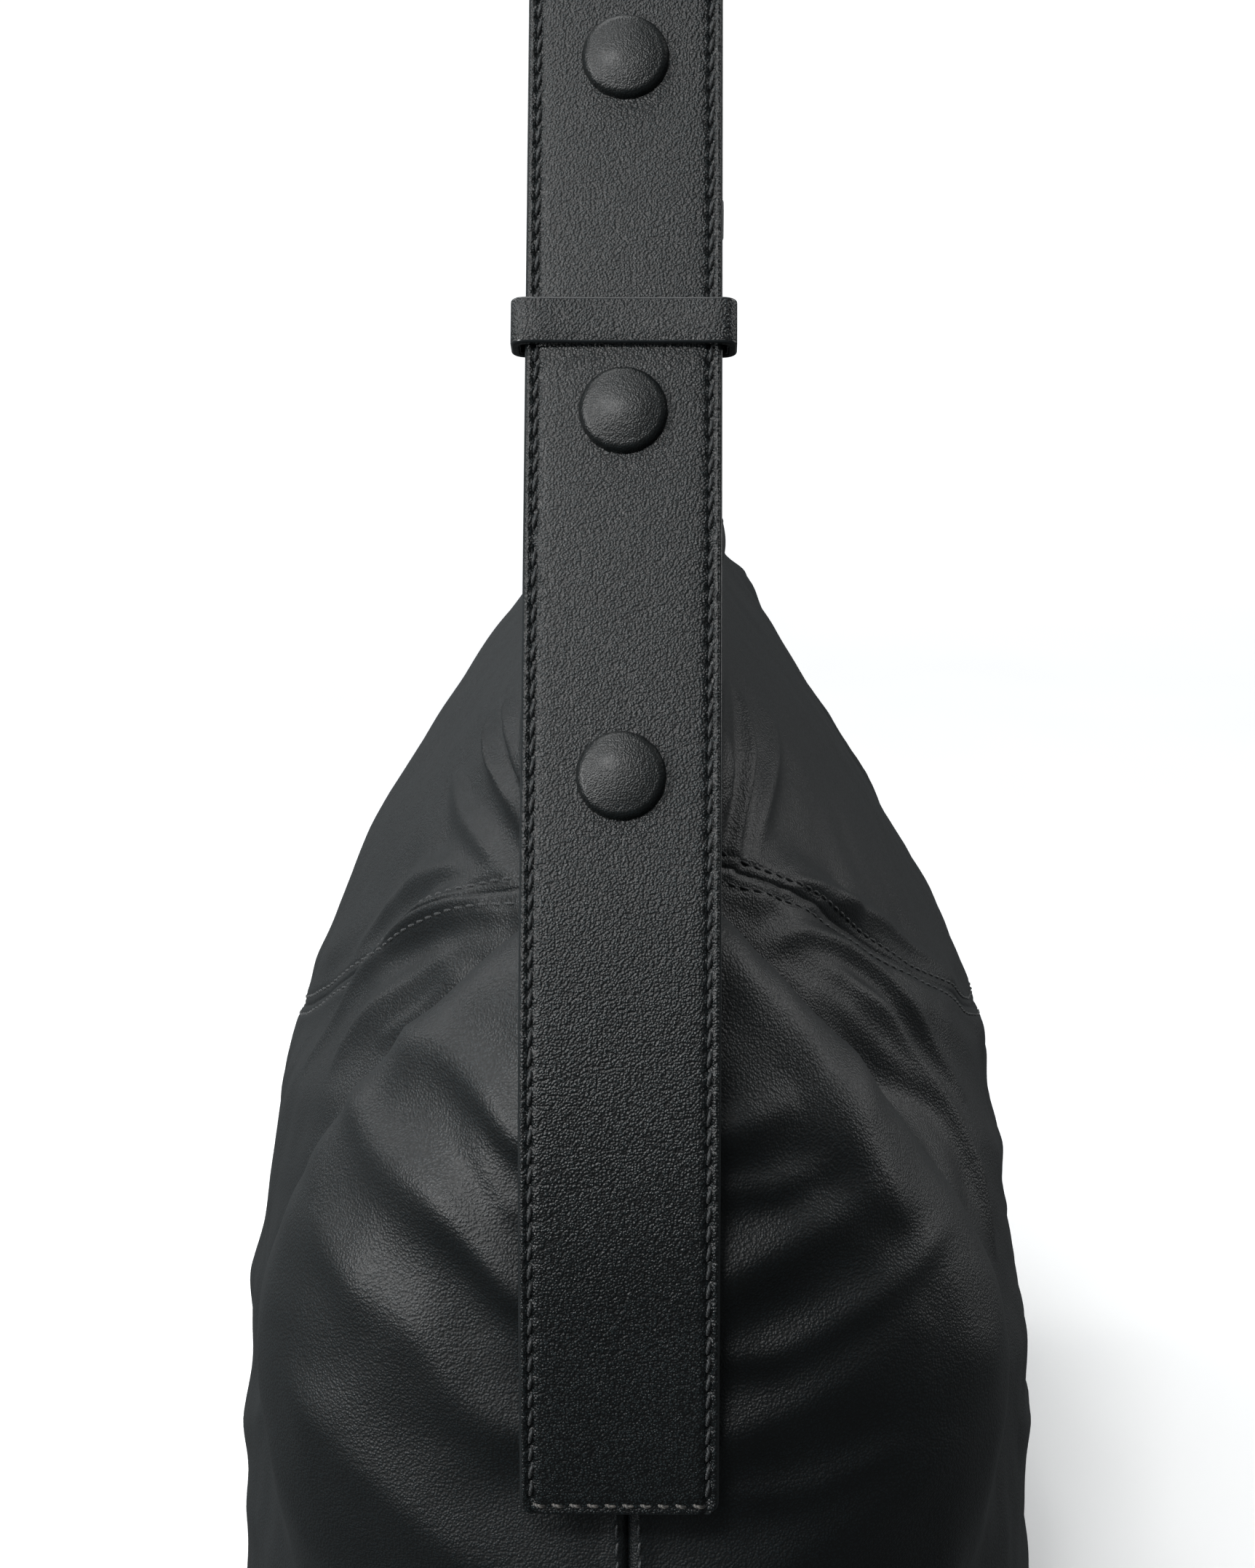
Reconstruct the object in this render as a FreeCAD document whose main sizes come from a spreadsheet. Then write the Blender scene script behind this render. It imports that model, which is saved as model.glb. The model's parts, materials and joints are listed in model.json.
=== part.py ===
import FreeCAD, Part
import math
import os
import Sketcher
from FreeCAD import Placement, Rotation, Vector

# A slouchy leather hobo bag. X runs along the bag with the near end at +X, Y from the front (-Y)
# to the back, Z up. The origin is the middle of the base. Everything is in millimetres.

doc = FreeCAD.newDocument("HoboBag")
sheet = doc.addObject("Spreadsheet::Sheet", "Sizes")

sizes = {
    # strap: a vertical lower stretch, a bend over the horn, a straight run and a round arch
    "strapWidth": 40.0,
    "plyThickness": 2.2,
    "strapWidestX": 225.0,
    "strapWidestZ": 150.0,
    "lowerRadius": 411.0,
    "lowerLean": 6.0,
    "bendRadius": 230.0,
    "strapLean": 22.5,
    "straightRun": 179.7,
    "tipCornerRadius": 3.0,
    # places along the strap, from its tip
    "lowerSnapAt": 151.0,
    "snapPitch": 75.0,
    "flapHingeAt": 182.0,
    "flapHingeGap": 0.5,
    "neckTopAt": 203.0,
    "tabFootAt": 135.0,
    "tabTopAt": 318.0,
    "keeperAt": 244.5,
    # tab behind the strap
    "tabWidth": 34.0,
    "tabThickness": 2.4,
    "layerGap": 0.4,
    # keeper loop
    "keeperHeight": 9.7,
    "keeperWidth": 46.0,
    "keeperWall": 2.2,
    "keeperBackWall": 1.6,
    "keeperPlay": 0.4,
    "keeperCorner": 1.5,
    # covered snap
    "coverRadius": 9.0,
    "coverHeight": 3.5,
    "coverThickness": 0.9,
    "capPlay": 0.1,
    "postRadius": 1.7,
    "postHoleRadius": 1.75,
    "socketRadius": 5.0,
    "socketBoreRadius": 2.8,
    "socketWeb": 0.5,
    "socketHoleRadius": 5.2,
    "studRadius": 2.3,
    "studTop": 3.1,
    "studPostRadius": 1.5,
    "backDiscRadius": 4.5,
    "backDiscThickness": 0.8,
    "studTail": 0.4,
    "domeRimShare": 0.3,
    # hairline gaps that keep touching pieces apart
    "seatGap": 0.05,
    "studGap": 0.02,
    # leather shell, lining and mouth
    "leatherThickness": 1.8,
    "liningThickness": 1.0,
    "pocketThickness": 1.2,
    "mouthHeight": 277.0,
    "mouthRadius": 612.0,
    "seamHeight": 158.5,
    "seamRadius": 262.0,
    "facingDepth": 38.0,
    "endGap": 1.6,
    "hornGap": 1.4,
    "basePanelHeight": 9.0,
    "halfSplit": 0.1,
    # base board
    "boardLength": 324.0,
    "boardDepth": 124.0,
    "boardCorner": 40.0,
    "boardThickness": 2.0,
    "boardGap": 0.1,
    # slip pocket and magnetic snap
    "pocketHalfLength": 80.0,
    "pocketBottom": 90.0,
    "pocketTop": 205.0,
    "magnetRadius": 9.0,
    "magnetHeight": 260.2,
    "magnetDepth": 19.0,
    "magnetLean": 53.0,
    "magnetBlank": 12.0,
}

# cutting boxes and drills reach past everything they cut
cutLength = 600.0
cutDepth = 400.0
cutHeight = 500.0
cutBelow = 50.0
drillPast = 1.0
pocketCutDepth = 120.0
tiny = 1e-6
outlineSteps = 24

# outline of the bag at each height: half depth and squareness of the rounded outline
levels = [
    {"height": 0.0, "depth": 80.0, "square": 3.0},
    {"height": 12.0, "depth": 91.0, "square": 3.0},
    {"height": 50.0, "depth": 97.0, "square": 2.8},
    {"height": 100.0, "depth": 94.0, "square": 2.5},
    {"height": 150.0, "depth": 86.0, "square": 2.2},
    {"height": 200.0, "depth": 66.0, "square": 2.1},
    {"height": 240.0, "depth": 42.0, "square": 2.2},
    {"height": 265.0, "depth": 22.0, "square": 3.0},
    {"height": 285.0, "depth": 14.5, "square": 4.5},
    {"height": 320.0, "depth": 14.5, "square": 5.0},
]
endSetBack = {0.0: 14.0, 12.0: 5.0}

row = 1
for alias, value in sizes.items():
    sheet.set("A%d" % row, alias)
    sheet.set("B%d" % row, str(value))
    sheet.setAlias("B%d" % row, alias)
    row += 1
doc.recompute()


def size(alias):
    return float(sheet.get(alias))


strapThickness = 2 * size("plyThickness")
lean = math.radians(size("strapLean"))
lowerLean = math.radians(size("lowerLean"))
along = Vector(-math.sin(lean), 0, math.cos(lean))
outward = Vector(math.cos(lean), 0, math.sin(lean))

# stretches of the strap's outer face, from the tip up
lowerCentre = Vector(size("strapWidestX") - size("lowerRadius"), 0, size("strapWidestZ"))
bendCentre = Vector(size("strapWidestX") - size("bendRadius"), 0, size("strapWidestZ"))
straightStart = bendCentre + outward * size("bendRadius")
straightEnd = straightStart + along * size("straightRun")
archRadius = straightEnd.x / math.cos(lean)
archCentre = straightEnd - outward * archRadius
lowerLength = size("lowerRadius") * lowerLean
bendLength = size("bendRadius") * lean
archLength = archRadius * (math.pi / 2 - lean)
straightAt = lowerLength + bendLength
archAt = straightAt + size("straightRun")
apexAt = archAt + archLength


def strapPoint(place, depth):
    """Point at a place along the strap, a depth in from its outer face."""
    if place < lowerLength:
        angle = place / size("lowerRadius") - lowerLean
        centre, radius = lowerCentre, size("lowerRadius")
    elif place < straightAt:
        angle = (place - lowerLength) / size("bendRadius")
        centre, radius = bendCentre, size("bendRadius")
    elif place < archAt:
        return straightStart + along * (place - straightAt) - outward * depth
    else:
        angle = lean + (place - archAt) / archRadius
        centre, radius = archCentre, archRadius
    direction = Vector(math.cos(angle), 0, math.sin(angle))
    return centre + direction * (radius - depth)


def strapEdges(start, end, depth):
    """Arcs and lines of the strap between two places, at one depth."""
    stops = [start] + [s for s in (lowerLength, straightAt, archAt) if start < s < end] + [end]
    edges = []
    for low, high in zip(stops, stops[1:]):
        first = strapPoint(low + tiny / 1000, depth)
        last = strapPoint(high - tiny / 1000, depth)
        middle = strapPoint((low + high) / 2, depth)
        if straightAt <= low and high <= archAt:
            edges.append(Part.LineSegment(first, last).toShape())
        else:
            edges.append(Part.Arc(first, middle, last).toShape())
    return edges


def strapSpan(start, end, outerDepth, innerDepth, width):
    """Slab of the strap between two places and two depths, centred on the XZ plane."""
    outer = strapEdges(start, end, outerDepth)
    inner = strapEdges(start, end, innerDepth)
    caps = [
        Part.LineSegment(strapPoint(start, outerDepth), strapPoint(start, innerDepth)).toShape(),
        Part.LineSegment(strapPoint(end, outerDepth), strapPoint(end, innerDepth)).toShape(),
    ]
    wire = Part.Wire(Part.__sortEdges__(outer + inner + caps))
    face = Part.Face(wire)
    face.translate(Vector(0, -width / 2, 0))
    return face.extrude(Vector(0, width, 0))


def roundCorners(solid, place, outerDepth, innerDepth, radius):
    """Round a slab's two corners at one place along the strap."""
    middle = (strapPoint(place, outerDepth) + strapPoint(place, innerDepth)) / 2
    picked = []
    for edge in solid.Edges:
        centre = edge.CenterOfMass
        distance = Vector(centre.x - middle.x, 0, centre.z - middle.z).Length
        atSide = abs(abs(centre.y) - solid.BoundBox.YLength / 2) < size("seatGap")
        if distance < size("seatGap") and atSide:
            picked.append(edge)
    return solid.makeFillet(radius, picked)


def snapCylinder(place, radius, topDepth, bottomDepth):
    """Cylinder square to the strap at a snap, between two depths."""
    base = strapPoint(place, topDepth)
    return Part.makeCylinder(radius, bottomDepth - topDepth, base, outward * -1)


def mirrored(shape):
    return shape.mirror(Vector(0, 0, 0), Vector(1, 0, 0))


exported = []


def addPiece(label, shape, placement=Placement()):
    """A sub-part whose shape is worked out from the sheet."""
    piece = doc.addObject("Part::Feature", label)
    piece.Label = label
    piece.Shape = shape
    piece.Placement = placement
    exported.append(piece)
    return piece


def addHelper(kind, name, placement, **expressions):
    """A primitive that cuts or trims others; its sizes follow the sheet."""
    helper = doc.addObject(kind, name)
    helper.Placement = placement
    for prop, expression in expressions.items():
        helper.setExpression(prop, expression)
    return helper


def addBoolean(kind, label, base, tool, keep=True):
    result = doc.addObject(kind, label)
    result.Label = label
    result.Base = base
    result.Tool = tool
    if keep:
        exported.append(result)
    return result


# --- bag: nested lofted forms, trimmed by the mouth and cut at the seams ---

def endReach(height, inset):
    """How far the bag's end reaches at a height: just behind the strap and its tab."""
    stack = strapThickness + size("layerGap")
    if height < size("strapWidestZ"):
        rise = size("strapWidestZ") - height
        radius = size("lowerRadius")
        reach = lowerCentre.x + math.sqrt(radius ** 2 - rise ** 2) - stack - size("endGap")
    elif height < straightStart.z:
        rise = height - size("strapWidestZ")
        radius = size("bendRadius")
        share = rise / (straightStart.z - size("strapWidestZ"))
        layers = stack + size("endGap") + share * (size("tabThickness") + size("hornGap"))
        reach = bendCentre.x + math.sqrt(radius ** 2 - rise ** 2) - layers
    else:
        layers = stack + size("endGap") + size("tabThickness") + size("hornGap")
        reach = straightStart.x - (height - straightStart.z) * math.tan(lean)
        reach -= layers / math.cos(lean)
    return reach - endSetBack.get(height, 0.0) - inset


def bagForm(name, inset, floor):
    """Solid loft through rounded outlines, a wall thickness in from the outside, above a floor."""
    wires = []
    for level in levels:
        power = 2.0 / level["square"]
        length = endReach(level["height"], inset)
        depth = level["depth"] - inset
        points = []
        for index in range(outlineSteps):
            angle = 2 * math.pi * index / outlineSteps
            across, deep = math.cos(angle), math.sin(angle)
            x = math.copysign(abs(across) ** power, across) * length
            y = math.copysign(abs(deep) ** power, deep) * depth
            points.append(Vector(x, y, level["height"]))
        spline = Part.BSplineCurve()
        spline.interpolate(points, PeriodicFlag=True)
        wires.append(Part.Wire([spline.toShape()]))
    shape = Part.makeLoft(wires, True, False)
    if floor > 0:
        corner = Vector(-cutLength / 2, -cutDepth / 2, -cutBelow)
        shape = shape.cut(Part.makeBox(cutLength, cutDepth, floor + cutBelow, corner))
    form = doc.addObject("Part::Feature", name)
    form.Shape = shape
    return form


boardTop = size("leatherThickness") + 2 * size("boardGap") + size("boardThickness")
liningInset = size("leatherThickness") + size("liningThickness")
pocketInset = liningInset + size("pocketThickness")
liningFloor = boardTop + size("liningThickness")
outerForm = bagForm("OuterForm", 0.0, 0.0)
cavityForm = bagForm("CavityForm", size("leatherThickness"), size("leatherThickness"))
liningForm = bagForm("LiningForm", size("leatherThickness"), boardTop)
innerForm = bagForm("InnerForm", liningInset, liningFloor)
pocketForm = bagForm("PocketForm", pocketInset, liningFloor)

acrossY = Rotation(Vector(1, 0, 0), -90)
cutterHalf = 150.0


def crossCylinder(name, radiusAlias, lowestHeight):
    """Cylinder along Y whose lowest line is at the given height expression."""
    cylinder = addHelper(
        "Part::Cylinder", name, Placement(Vector(0, -cutterHalf, 0), acrossY),
        Radius="Sizes." + radiusAlias)
    cylinder.Height = 2 * cutterHalf
    cylinder.setExpression("Placement.Base.z", lowestHeight + " + Sizes." + radiusAlias)
    return cylinder


mouthCutter = crossCylinder("MouthCutter", "mouthRadius", "Sizes.mouthHeight")
facingCutter = crossCylinder("FacingCutter", "mouthRadius", "Sizes.mouthHeight - Sizes.facingDepth")
seamCutter = crossCylinder("SeamCutter", "seamRadius", "Sizes.seamHeight")


def halfSpace(name, side):
    box = doc.addObject("Part::Box", name)
    box.Length = cutLength
    box.Width = cutDepth / 2
    box.Height = cutHeight
    base = size("halfSplit") / 2 if side > 0 else -cutDepth / 2 - size("halfSplit") / 2
    box.Placement = Placement(Vector(-cutLength / 2, base, -cutBelow), Rotation())
    return box


frontHalf = halfSpace("FrontHalf", -1)
backHalf = halfSpace("BackHalf", 1)
baseSlab = doc.addObject("Part::Box", "BaseSlab")
baseSlab.Length = cutLength
baseSlab.Width = cutDepth
baseSlab.Placement = Placement(Vector(-cutLength / 2, -cutDepth / 2, -cutBelow), Rotation())
baseSlab.setExpression("Height", "%g + Sizes.basePanelHeight" % cutBelow)

closedSkin = addBoolean("Part::Cut", "ClosedSkin", outerForm, cavityForm, keep=False)
skin = addBoolean("Part::Cut", "Skin", closedSkin, mouthCutter, keep=False)
yokeRing = addBoolean("Part::Common", "YokeRing", skin, seamCutter, keep=False)
lowerShell = addBoolean("Part::Cut", "LowerShell", skin, seamCutter, keep=False)
addBoolean("Part::Common", "base_panel", lowerShell, baseSlab)
panelRing = addBoolean("Part::Cut", "PanelRing", lowerShell, baseSlab, keep=False)
closedLining = addBoolean("Part::Cut", "ClosedLining", liningForm, innerForm, keep=False)
liningRing = addBoolean("Part::Cut", "LiningRing", closedLining, mouthCutter, keep=False)
facingRing = addBoolean("Part::Common", "FacingRing", liningRing, facingCutter, keep=False)
addBoolean("Part::Cut", "lining", liningRing, facingCutter)
for side, half in (("front", frontHalf), ("back", backHalf)):
    addBoolean("Part::Common", side + "_yoke", yokeRing, half)
    addBoolean("Part::Common", side + "_panel", panelRing, half)
    addBoolean("Part::Common", side + "_facing", facingRing, half)

# slip pocket on the back of the lining
pocketLayer = addBoolean("Part::Cut", "PocketLayer", innerForm, pocketForm, keep=False)
pocketBox = addHelper(
    "Part::Box", "PocketBox", Placement(), Length="2 * Sizes.pocketHalfLength",
    Height="Sizes.pocketTop - Sizes.pocketBottom")
pocketBox.Width = pocketCutDepth
pocketBox.setExpression("Placement.Base.x", "-Sizes.pocketHalfLength")
pocketBox.setExpression("Placement.Base.z", "Sizes.pocketBottom")
addBoolean("Part::Common", "slip_pocket", pocketLayer, pocketBox)

# magnetic snap: a disc on each facing, its back fitting the slope of the mouth
for side, name in ((-1, "magnet_front"), (1, "magnet_back")):
    blank = addHelper(
        "Part::Cylinder", name.title().replace("_", "") + "Blank", Placement(),
        Radius="Sizes.magnetRadius", Height="Sizes.magnetBlank")
    turn = Rotation(Vector(1, 0, 0), -side * size("magnetLean"))
    base = Vector(0, side * size("magnetDepth"), size("magnetHeight"))
    blank.Placement = Placement(base, turn)
    addBoolean("Part::Common", name, blank, innerForm)

# --- base board: a rounded plate under the lining ---

board = doc.addObject("PartDesign::Body", "base_board")
board.Label = "base_board"
plane = [f for f in board.Origin.OriginFeatures if f.Role == "XY_Plane"][0]
outline = board.newObject("Sketcher::SketchObject", "BoardOutline")
outline.AttachmentSupport = [(plane, "")]
outline.MapMode = "FlatFace"
corners = [Vector(-1, -1, 0), Vector(1, -1, 0), Vector(1, 1, 0), Vector(-1, 1, 0)]
half = Vector(size("boardLength") / 2, size("boardDepth") / 2, 0)
corners = [Vector(c.x * half.x, c.y * half.y, 0) for c in corners]
for index in range(4):
    outline.addGeometry(Part.LineSegment(corners[index], corners[(index + 1) % 4]), False)
for index in range(4):
    outline.addConstraint(Sketcher.Constraint("Coincident", index, 2, (index + 1) % 4, 1))
for index in (0, 2):
    outline.addConstraint(Sketcher.Constraint("Horizontal", index))
for index in (1, 3):
    outline.addConstraint(Sketcher.Constraint("Vertical", index))
outline.addConstraint(Sketcher.Constraint("Symmetric", 0, 1, 2, 1, -1, 1))
outline.addConstraint(Sketcher.Constraint("DistanceX", 0, 1, 0, 2, size("boardLength")))
outline.addConstraint(Sketcher.Constraint("DistanceY", 1, 1, 1, 2, size("boardDepth")))
outline.setExpression("Constraints[9]", "Sizes.boardLength")
outline.setExpression("Constraints[10]", "Sizes.boardDepth")
pad = board.newObject("PartDesign::Pad", "BoardPad")
pad.Profile = outline
pad.setExpression("Length", "Sizes.boardThickness")
doc.recompute()
upright = ["Edge%d" % (i + 1) for i, e in enumerate(pad.Shape.Edges)
           if abs(e.BoundBox.ZLength - size("boardThickness")) < tiny]
rounding = board.newObject("PartDesign::Fillet", "BoardCorners")
rounding.Base = (pad, upright)
rounding.setExpression("Radius", "Sizes.boardCorner")
boardBase = size("leatherThickness") + size("boardGap")
board.Placement = Placement(Vector(0, 0, boardBase), Rotation())
exported.append(board)

# --- strap: an outer ply and a lining ply, in spans that meet at the bends ---

snapPlaces = [size("lowerSnapAt") + index * size("snapPitch") for index in range(3)]
ply = size("plyThickness")
width = size("strapWidth")
swingAt = snapPlaces[1]
archEnd = swingAt - width / 2
roundEnd = width / 2 - size("seatGap")
tabFront = strapThickness + size("layerGap")
tabBack = tabFront + size("tabThickness")


def plyHoles(place, outerPly):
    """What a snap takes out of a ply: the post's hole, or the socket's seat in the lining."""
    if outerPly:
        return snapCylinder(place, size("postHoleRadius"), -drillPast, ply + tiny)
    return snapCylinder(place, size("socketHoleRadius"), ply - tiny, strapThickness + drillPast)


for plyName, top, bottom in (("outer", 0.0, ply), ("lining", ply, strapThickness)):
    flap = strapSpan(0, size("flapHingeAt") - size("flapHingeGap"), top, bottom, width)
    flap = roundCorners(flap, 0, top, bottom, size("tipCornerRadius"))
    flap = flap.cut(plyHoles(snapPlaces[0], top == 0.0))
    neckFrom = size("flapHingeAt") + size("flapHingeGap")
    neck = strapSpan(neckFrom, size("neckTopAt"), top, bottom, width)
    arch = strapSpan(archEnd, apexAt, top, bottom, width)
    arch = roundCorners(arch, archEnd, top, bottom, roundEnd)
    for place in snapPlaces[1:]:
        arch = arch.cut(plyHoles(place, top == 0.0))
    addPiece("near_flap_" + plyName, flap)
    addPiece("far_flap_" + plyName, mirrored(flap))
    addPiece("near_neck_" + plyName, neck)
    addPiece("far_neck_" + plyName, mirrored(neck))
    addPiece("arch_" + plyName, arch.fuse(mirrored(arch)).removeSplitter())

# tabs that rise from the horns behind the strap
tabWidth = size("tabWidth")
tabEnd = swingAt - tabWidth / 2
tab = strapSpan(tabEnd, size("tabTopAt"), tabFront, tabBack, tabWidth)
tab = roundCorners(tab, tabEnd, tabFront, tabBack, tabWidth / 2 - size("seatGap"))
studHole = size("studPostRadius") + size("seatGap")
for place in snapPlaces[1:]:
    tab = tab.cut(snapCylinder(place, studHole, tabFront - drillPast, tabBack + drillPast))
foot = strapSpan(size("tabFootAt"), size("neckTopAt"), tabFront, tabBack, tabWidth)
foot = foot.cut(snapCylinder(snapPlaces[0], studHole, tabFront - drillPast, tabBack + drillPast))
addPiece("near_tab", tab)
addPiece("far_tab", mirrored(tab))
addPiece("near_tab_foot", foot)
addPiece("far_tab_foot", mirrored(foot))

# --- keeper loops: a band round the strap and its tab ---

keeperFront = size("keeperPlay") + size("keeperWall")
keeperInnerBack = tabBack + size("keeperPlay")
keeperBack = keeperInnerBack + size("keeperBackWall")


def keeperLoop(label, side):
    """Rounded band with a slot through it, square to the strap at the near or far end."""
    middle = (keeperBack - keeperFront) / 2
    slotMiddle = (keeperInnerBack - size("keeperPlay")) / 2
    centre = strapPoint(size("keeperAt"), middle)
    thickness = keeperFront + keeperBack
    band = Part.makeBox(thickness, size("keeperWidth"), size("keeperHeight"),
                        Vector(-thickness / 2, -size("keeperWidth") / 2, -size("keeperHeight") / 2))
    tall = [e for e in band.Edges if abs(e.BoundBox.ZLength - size("keeperHeight")) < tiny]
    band = band.makeFillet(size("keeperCorner"), tall)
    slotDepth = keeperInnerBack + size("keeperPlay")
    slotWidth = size("keeperWidth") - 2 * size("keeperWall")
    slot = Part.makeBox(slotDepth, slotWidth, 2 * size("keeperHeight"),
                        Vector(-slotDepth / 2, -slotWidth / 2, -size("keeperHeight")))
    slot.translate(Vector(middle - slotMiddle, 0, 0))
    facing = Rotation(Vector(0, 0, 1), 0 if side > 0 else 180)
    tilt = Rotation(Vector(0, 1, 0), -side * size("strapLean"))
    place = Placement(Vector(side * centre.x, 0, centre.z), tilt * facing)
    addPiece(label, band.cut(slot), place)


keeperLoop("near_keeper", 1)
keeperLoop("far_keeper", -1)

# --- covered snaps: leather cover, cap with its post, socket, stud with its post ---


def dome(place, radius, height, foot):
    """Low dome standing on the strap's outer face, with a short upright rim."""
    rim = height * size("domeRimShare")
    rise = height - rim
    ball = (radius ** 2 + rise ** 2) / (2 * rise)
    top = foot + height
    sphere = Part.makeSphere(ball, strapPoint(place, ball - top))
    drum = Part.makeCylinder(radius, height, strapPoint(place, -foot), outward)
    return sphere.common(drum)


def snapPieces(place):
    """The four pieces of one snap, in place."""
    lift = size("seatGap")
    inner = size("coverRadius") - size("coverThickness")
    innerHeight = size("coverHeight") - size("coverThickness")
    cover = dome(place, size("coverRadius"), size("coverHeight"), lift)
    cover = cover.cut(dome(place, inner, innerHeight, lift))
    capRadius = inner - size("capPlay")
    cap = dome(place, capRadius, innerHeight - size("capPlay"), lift)
    cap = cap.fuse(snapCylinder(place, size("postRadius"), -drillPast, ply + size("socketWeb")))
    socket = snapCylinder(place, size("socketRadius"), ply + lift, strapThickness - lift)
    socket = socket.cut(snapCylinder(place, size("postHoleRadius"), 0, strapThickness))
    bore = snapCylinder(
        place, size("socketBoreRadius"), ply + size("socketWeb"), strapThickness + drillPast)
    socket = socket.cut(bore)
    stud = snapCylinder(place, size("studRadius"), size("studTop"), tabFront - size("studGap"))
    tail = snapCylinder(
        place, size("studPostRadius"), size("studTop"), tabBack + size("studTail"))
    disc = snapCylinder(
        place, size("backDiscRadius"), tabBack + size("studGap"),
        tabBack + size("backDiscThickness"))
    return {"covers": cover, "caps": cap, "sockets": socket, "studs": stud.fuse(tail).fuse(disc)}


lowerSnap = snapPieces(snapPlaces[0])
upperSnaps = [snapPieces(place) for place in snapPlaces[1:]]
for kind, lower in lowerSnap.items():
    upper = [snap[kind] for snap in upperSnaps]
    addPiece("arch_snap_" + kind, Part.makeCompound(upper + [mirrored(s) for s in upper]))
    if kind == "studs":
        addPiece("foot_snap_studs", Part.makeCompound([lower, mirrored(lower)]))
    else:
        addPiece("near_flap_snap_" + kind[:-1], lower)
        addPiece("far_flap_snap_" + kind[:-1], mirrored(lower))

# --- check and write ---

doc.recompute()
problems = []
for item in doc.Objects:
    if "Invalid" in item.State or "Error" in item.State:
        problems.append(item.Name + " did not recompute")
for item in exported:
    if item.Shape.isNull() or not item.Shape.isValid():
        problems.append(item.Label + " has no valid shape")
    elif not item.Shape.Solids:
        problems.append(item.Label + " has no solid")
if problems:
    raise RuntimeError("; ".join(problems))

os.makedirs("parts", exist_ok=True)
for item in exported:
    item.Shape.exportStep("parts/" + item.Label + ".step")
    print("%-24s %d solids %10.1f mm3" % (item.Label, len(item.Shape.Solids), item.Shape.Volume))
for label, place in (("swing axis", swingAt), ("flap hinge", size("flapHingeAt")),
                     ("keeper", size("keeperAt")), ("apex", apexAt)):
    point = strapPoint(place, 0)
    print("%s at x %.2f z %.2f, %.1f along the strap" % (label, point.x, point.z, place))
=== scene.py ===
import bmesh
import bpy
import json
import math
import numpy as np
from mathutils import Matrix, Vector, noise

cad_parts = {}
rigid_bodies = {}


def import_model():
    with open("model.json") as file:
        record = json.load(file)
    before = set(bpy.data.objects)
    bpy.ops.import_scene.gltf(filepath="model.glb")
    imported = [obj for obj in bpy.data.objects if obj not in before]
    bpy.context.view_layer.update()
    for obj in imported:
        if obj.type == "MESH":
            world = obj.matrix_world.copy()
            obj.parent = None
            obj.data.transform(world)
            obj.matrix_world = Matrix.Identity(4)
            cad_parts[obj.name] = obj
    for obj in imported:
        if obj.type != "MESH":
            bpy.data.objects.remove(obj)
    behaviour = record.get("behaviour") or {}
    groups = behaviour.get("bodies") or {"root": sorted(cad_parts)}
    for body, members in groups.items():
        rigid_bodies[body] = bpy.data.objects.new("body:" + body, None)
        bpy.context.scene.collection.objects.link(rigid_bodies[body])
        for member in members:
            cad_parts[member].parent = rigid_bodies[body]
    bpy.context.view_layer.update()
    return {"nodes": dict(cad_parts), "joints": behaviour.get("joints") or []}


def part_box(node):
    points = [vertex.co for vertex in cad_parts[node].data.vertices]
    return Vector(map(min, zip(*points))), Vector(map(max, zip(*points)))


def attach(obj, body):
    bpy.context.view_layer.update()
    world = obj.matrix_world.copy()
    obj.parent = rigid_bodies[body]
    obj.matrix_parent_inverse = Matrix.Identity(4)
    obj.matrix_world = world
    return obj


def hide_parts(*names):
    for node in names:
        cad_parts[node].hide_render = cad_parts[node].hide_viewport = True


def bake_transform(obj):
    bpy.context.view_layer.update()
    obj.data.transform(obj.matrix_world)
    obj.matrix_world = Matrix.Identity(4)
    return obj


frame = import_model()
mm = 0.001
joints = {j["name"]: j for j in frame["joints"]}
near, far = 1, -1


# maths shared by the pieces

def toLinear(hexColour):
    channels = [int(hexColour[i:i + 2], 16) / 255 for i in (1, 3, 5)]
    return [c / 12.92 if c <= 0.04045 else ((c + 0.055) / 1.055) ** 2.4 for c in channels] + [1.0]


def ramp(value, low, high):
    t = np.clip((np.asarray(value, float) - low) / (high - low), 0, 1)
    return t * t * (3 - 2 * t)


def bump(value, centre, width):
    return np.exp(-((value - centre) / width) ** 2)


def softMax(a, b, blend):
    share = np.clip(0.5 + 0.5 * (b - a) / blend, 0, 1)
    return a * (1 - share) + b * share + blend * share * (1 - share)


def curveThrough(value, places, heights):
    # smooth curve through a few points
    places, heights = np.array(places), np.array(heights)
    slopes = np.gradient(heights, places)
    value = np.clip(value, places[0], places[-1])
    i = np.clip(np.searchsorted(places, value) - 1, 0, len(places) - 2)
    span = places[i + 1] - places[i]
    t = (value - places[i]) / span
    rest = 1 - t
    return (heights[i] * (1 + 2 * t) * rest ** 2 + heights[i + 1] * (3 - 2 * t) * t ** 2
            + span * (slopes[i] * t * rest ** 2 - slopes[i + 1] * rest * t ** 2))


def wander(points, scale, seed):
    # slow noise at many points, -1 to 1
    flat = points.reshape(-1, 3) * scale
    found = [noise.noise(Vector((p[0] + seed, p[1] - seed, p[2] + 2 * seed))) for p in flat]
    return np.array(found).reshape(points.shape[:-1])


# mesh helpers

def faceOutwards(mesh):
    # all faces of a closed piece turned the same way
    shape = bmesh.new()
    shape.from_mesh(mesh)
    bmesh.ops.recalc_face_normals(shape, faces=shape.faces)
    shape.to_mesh(mesh)
    shape.free()
    mesh.update()


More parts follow.
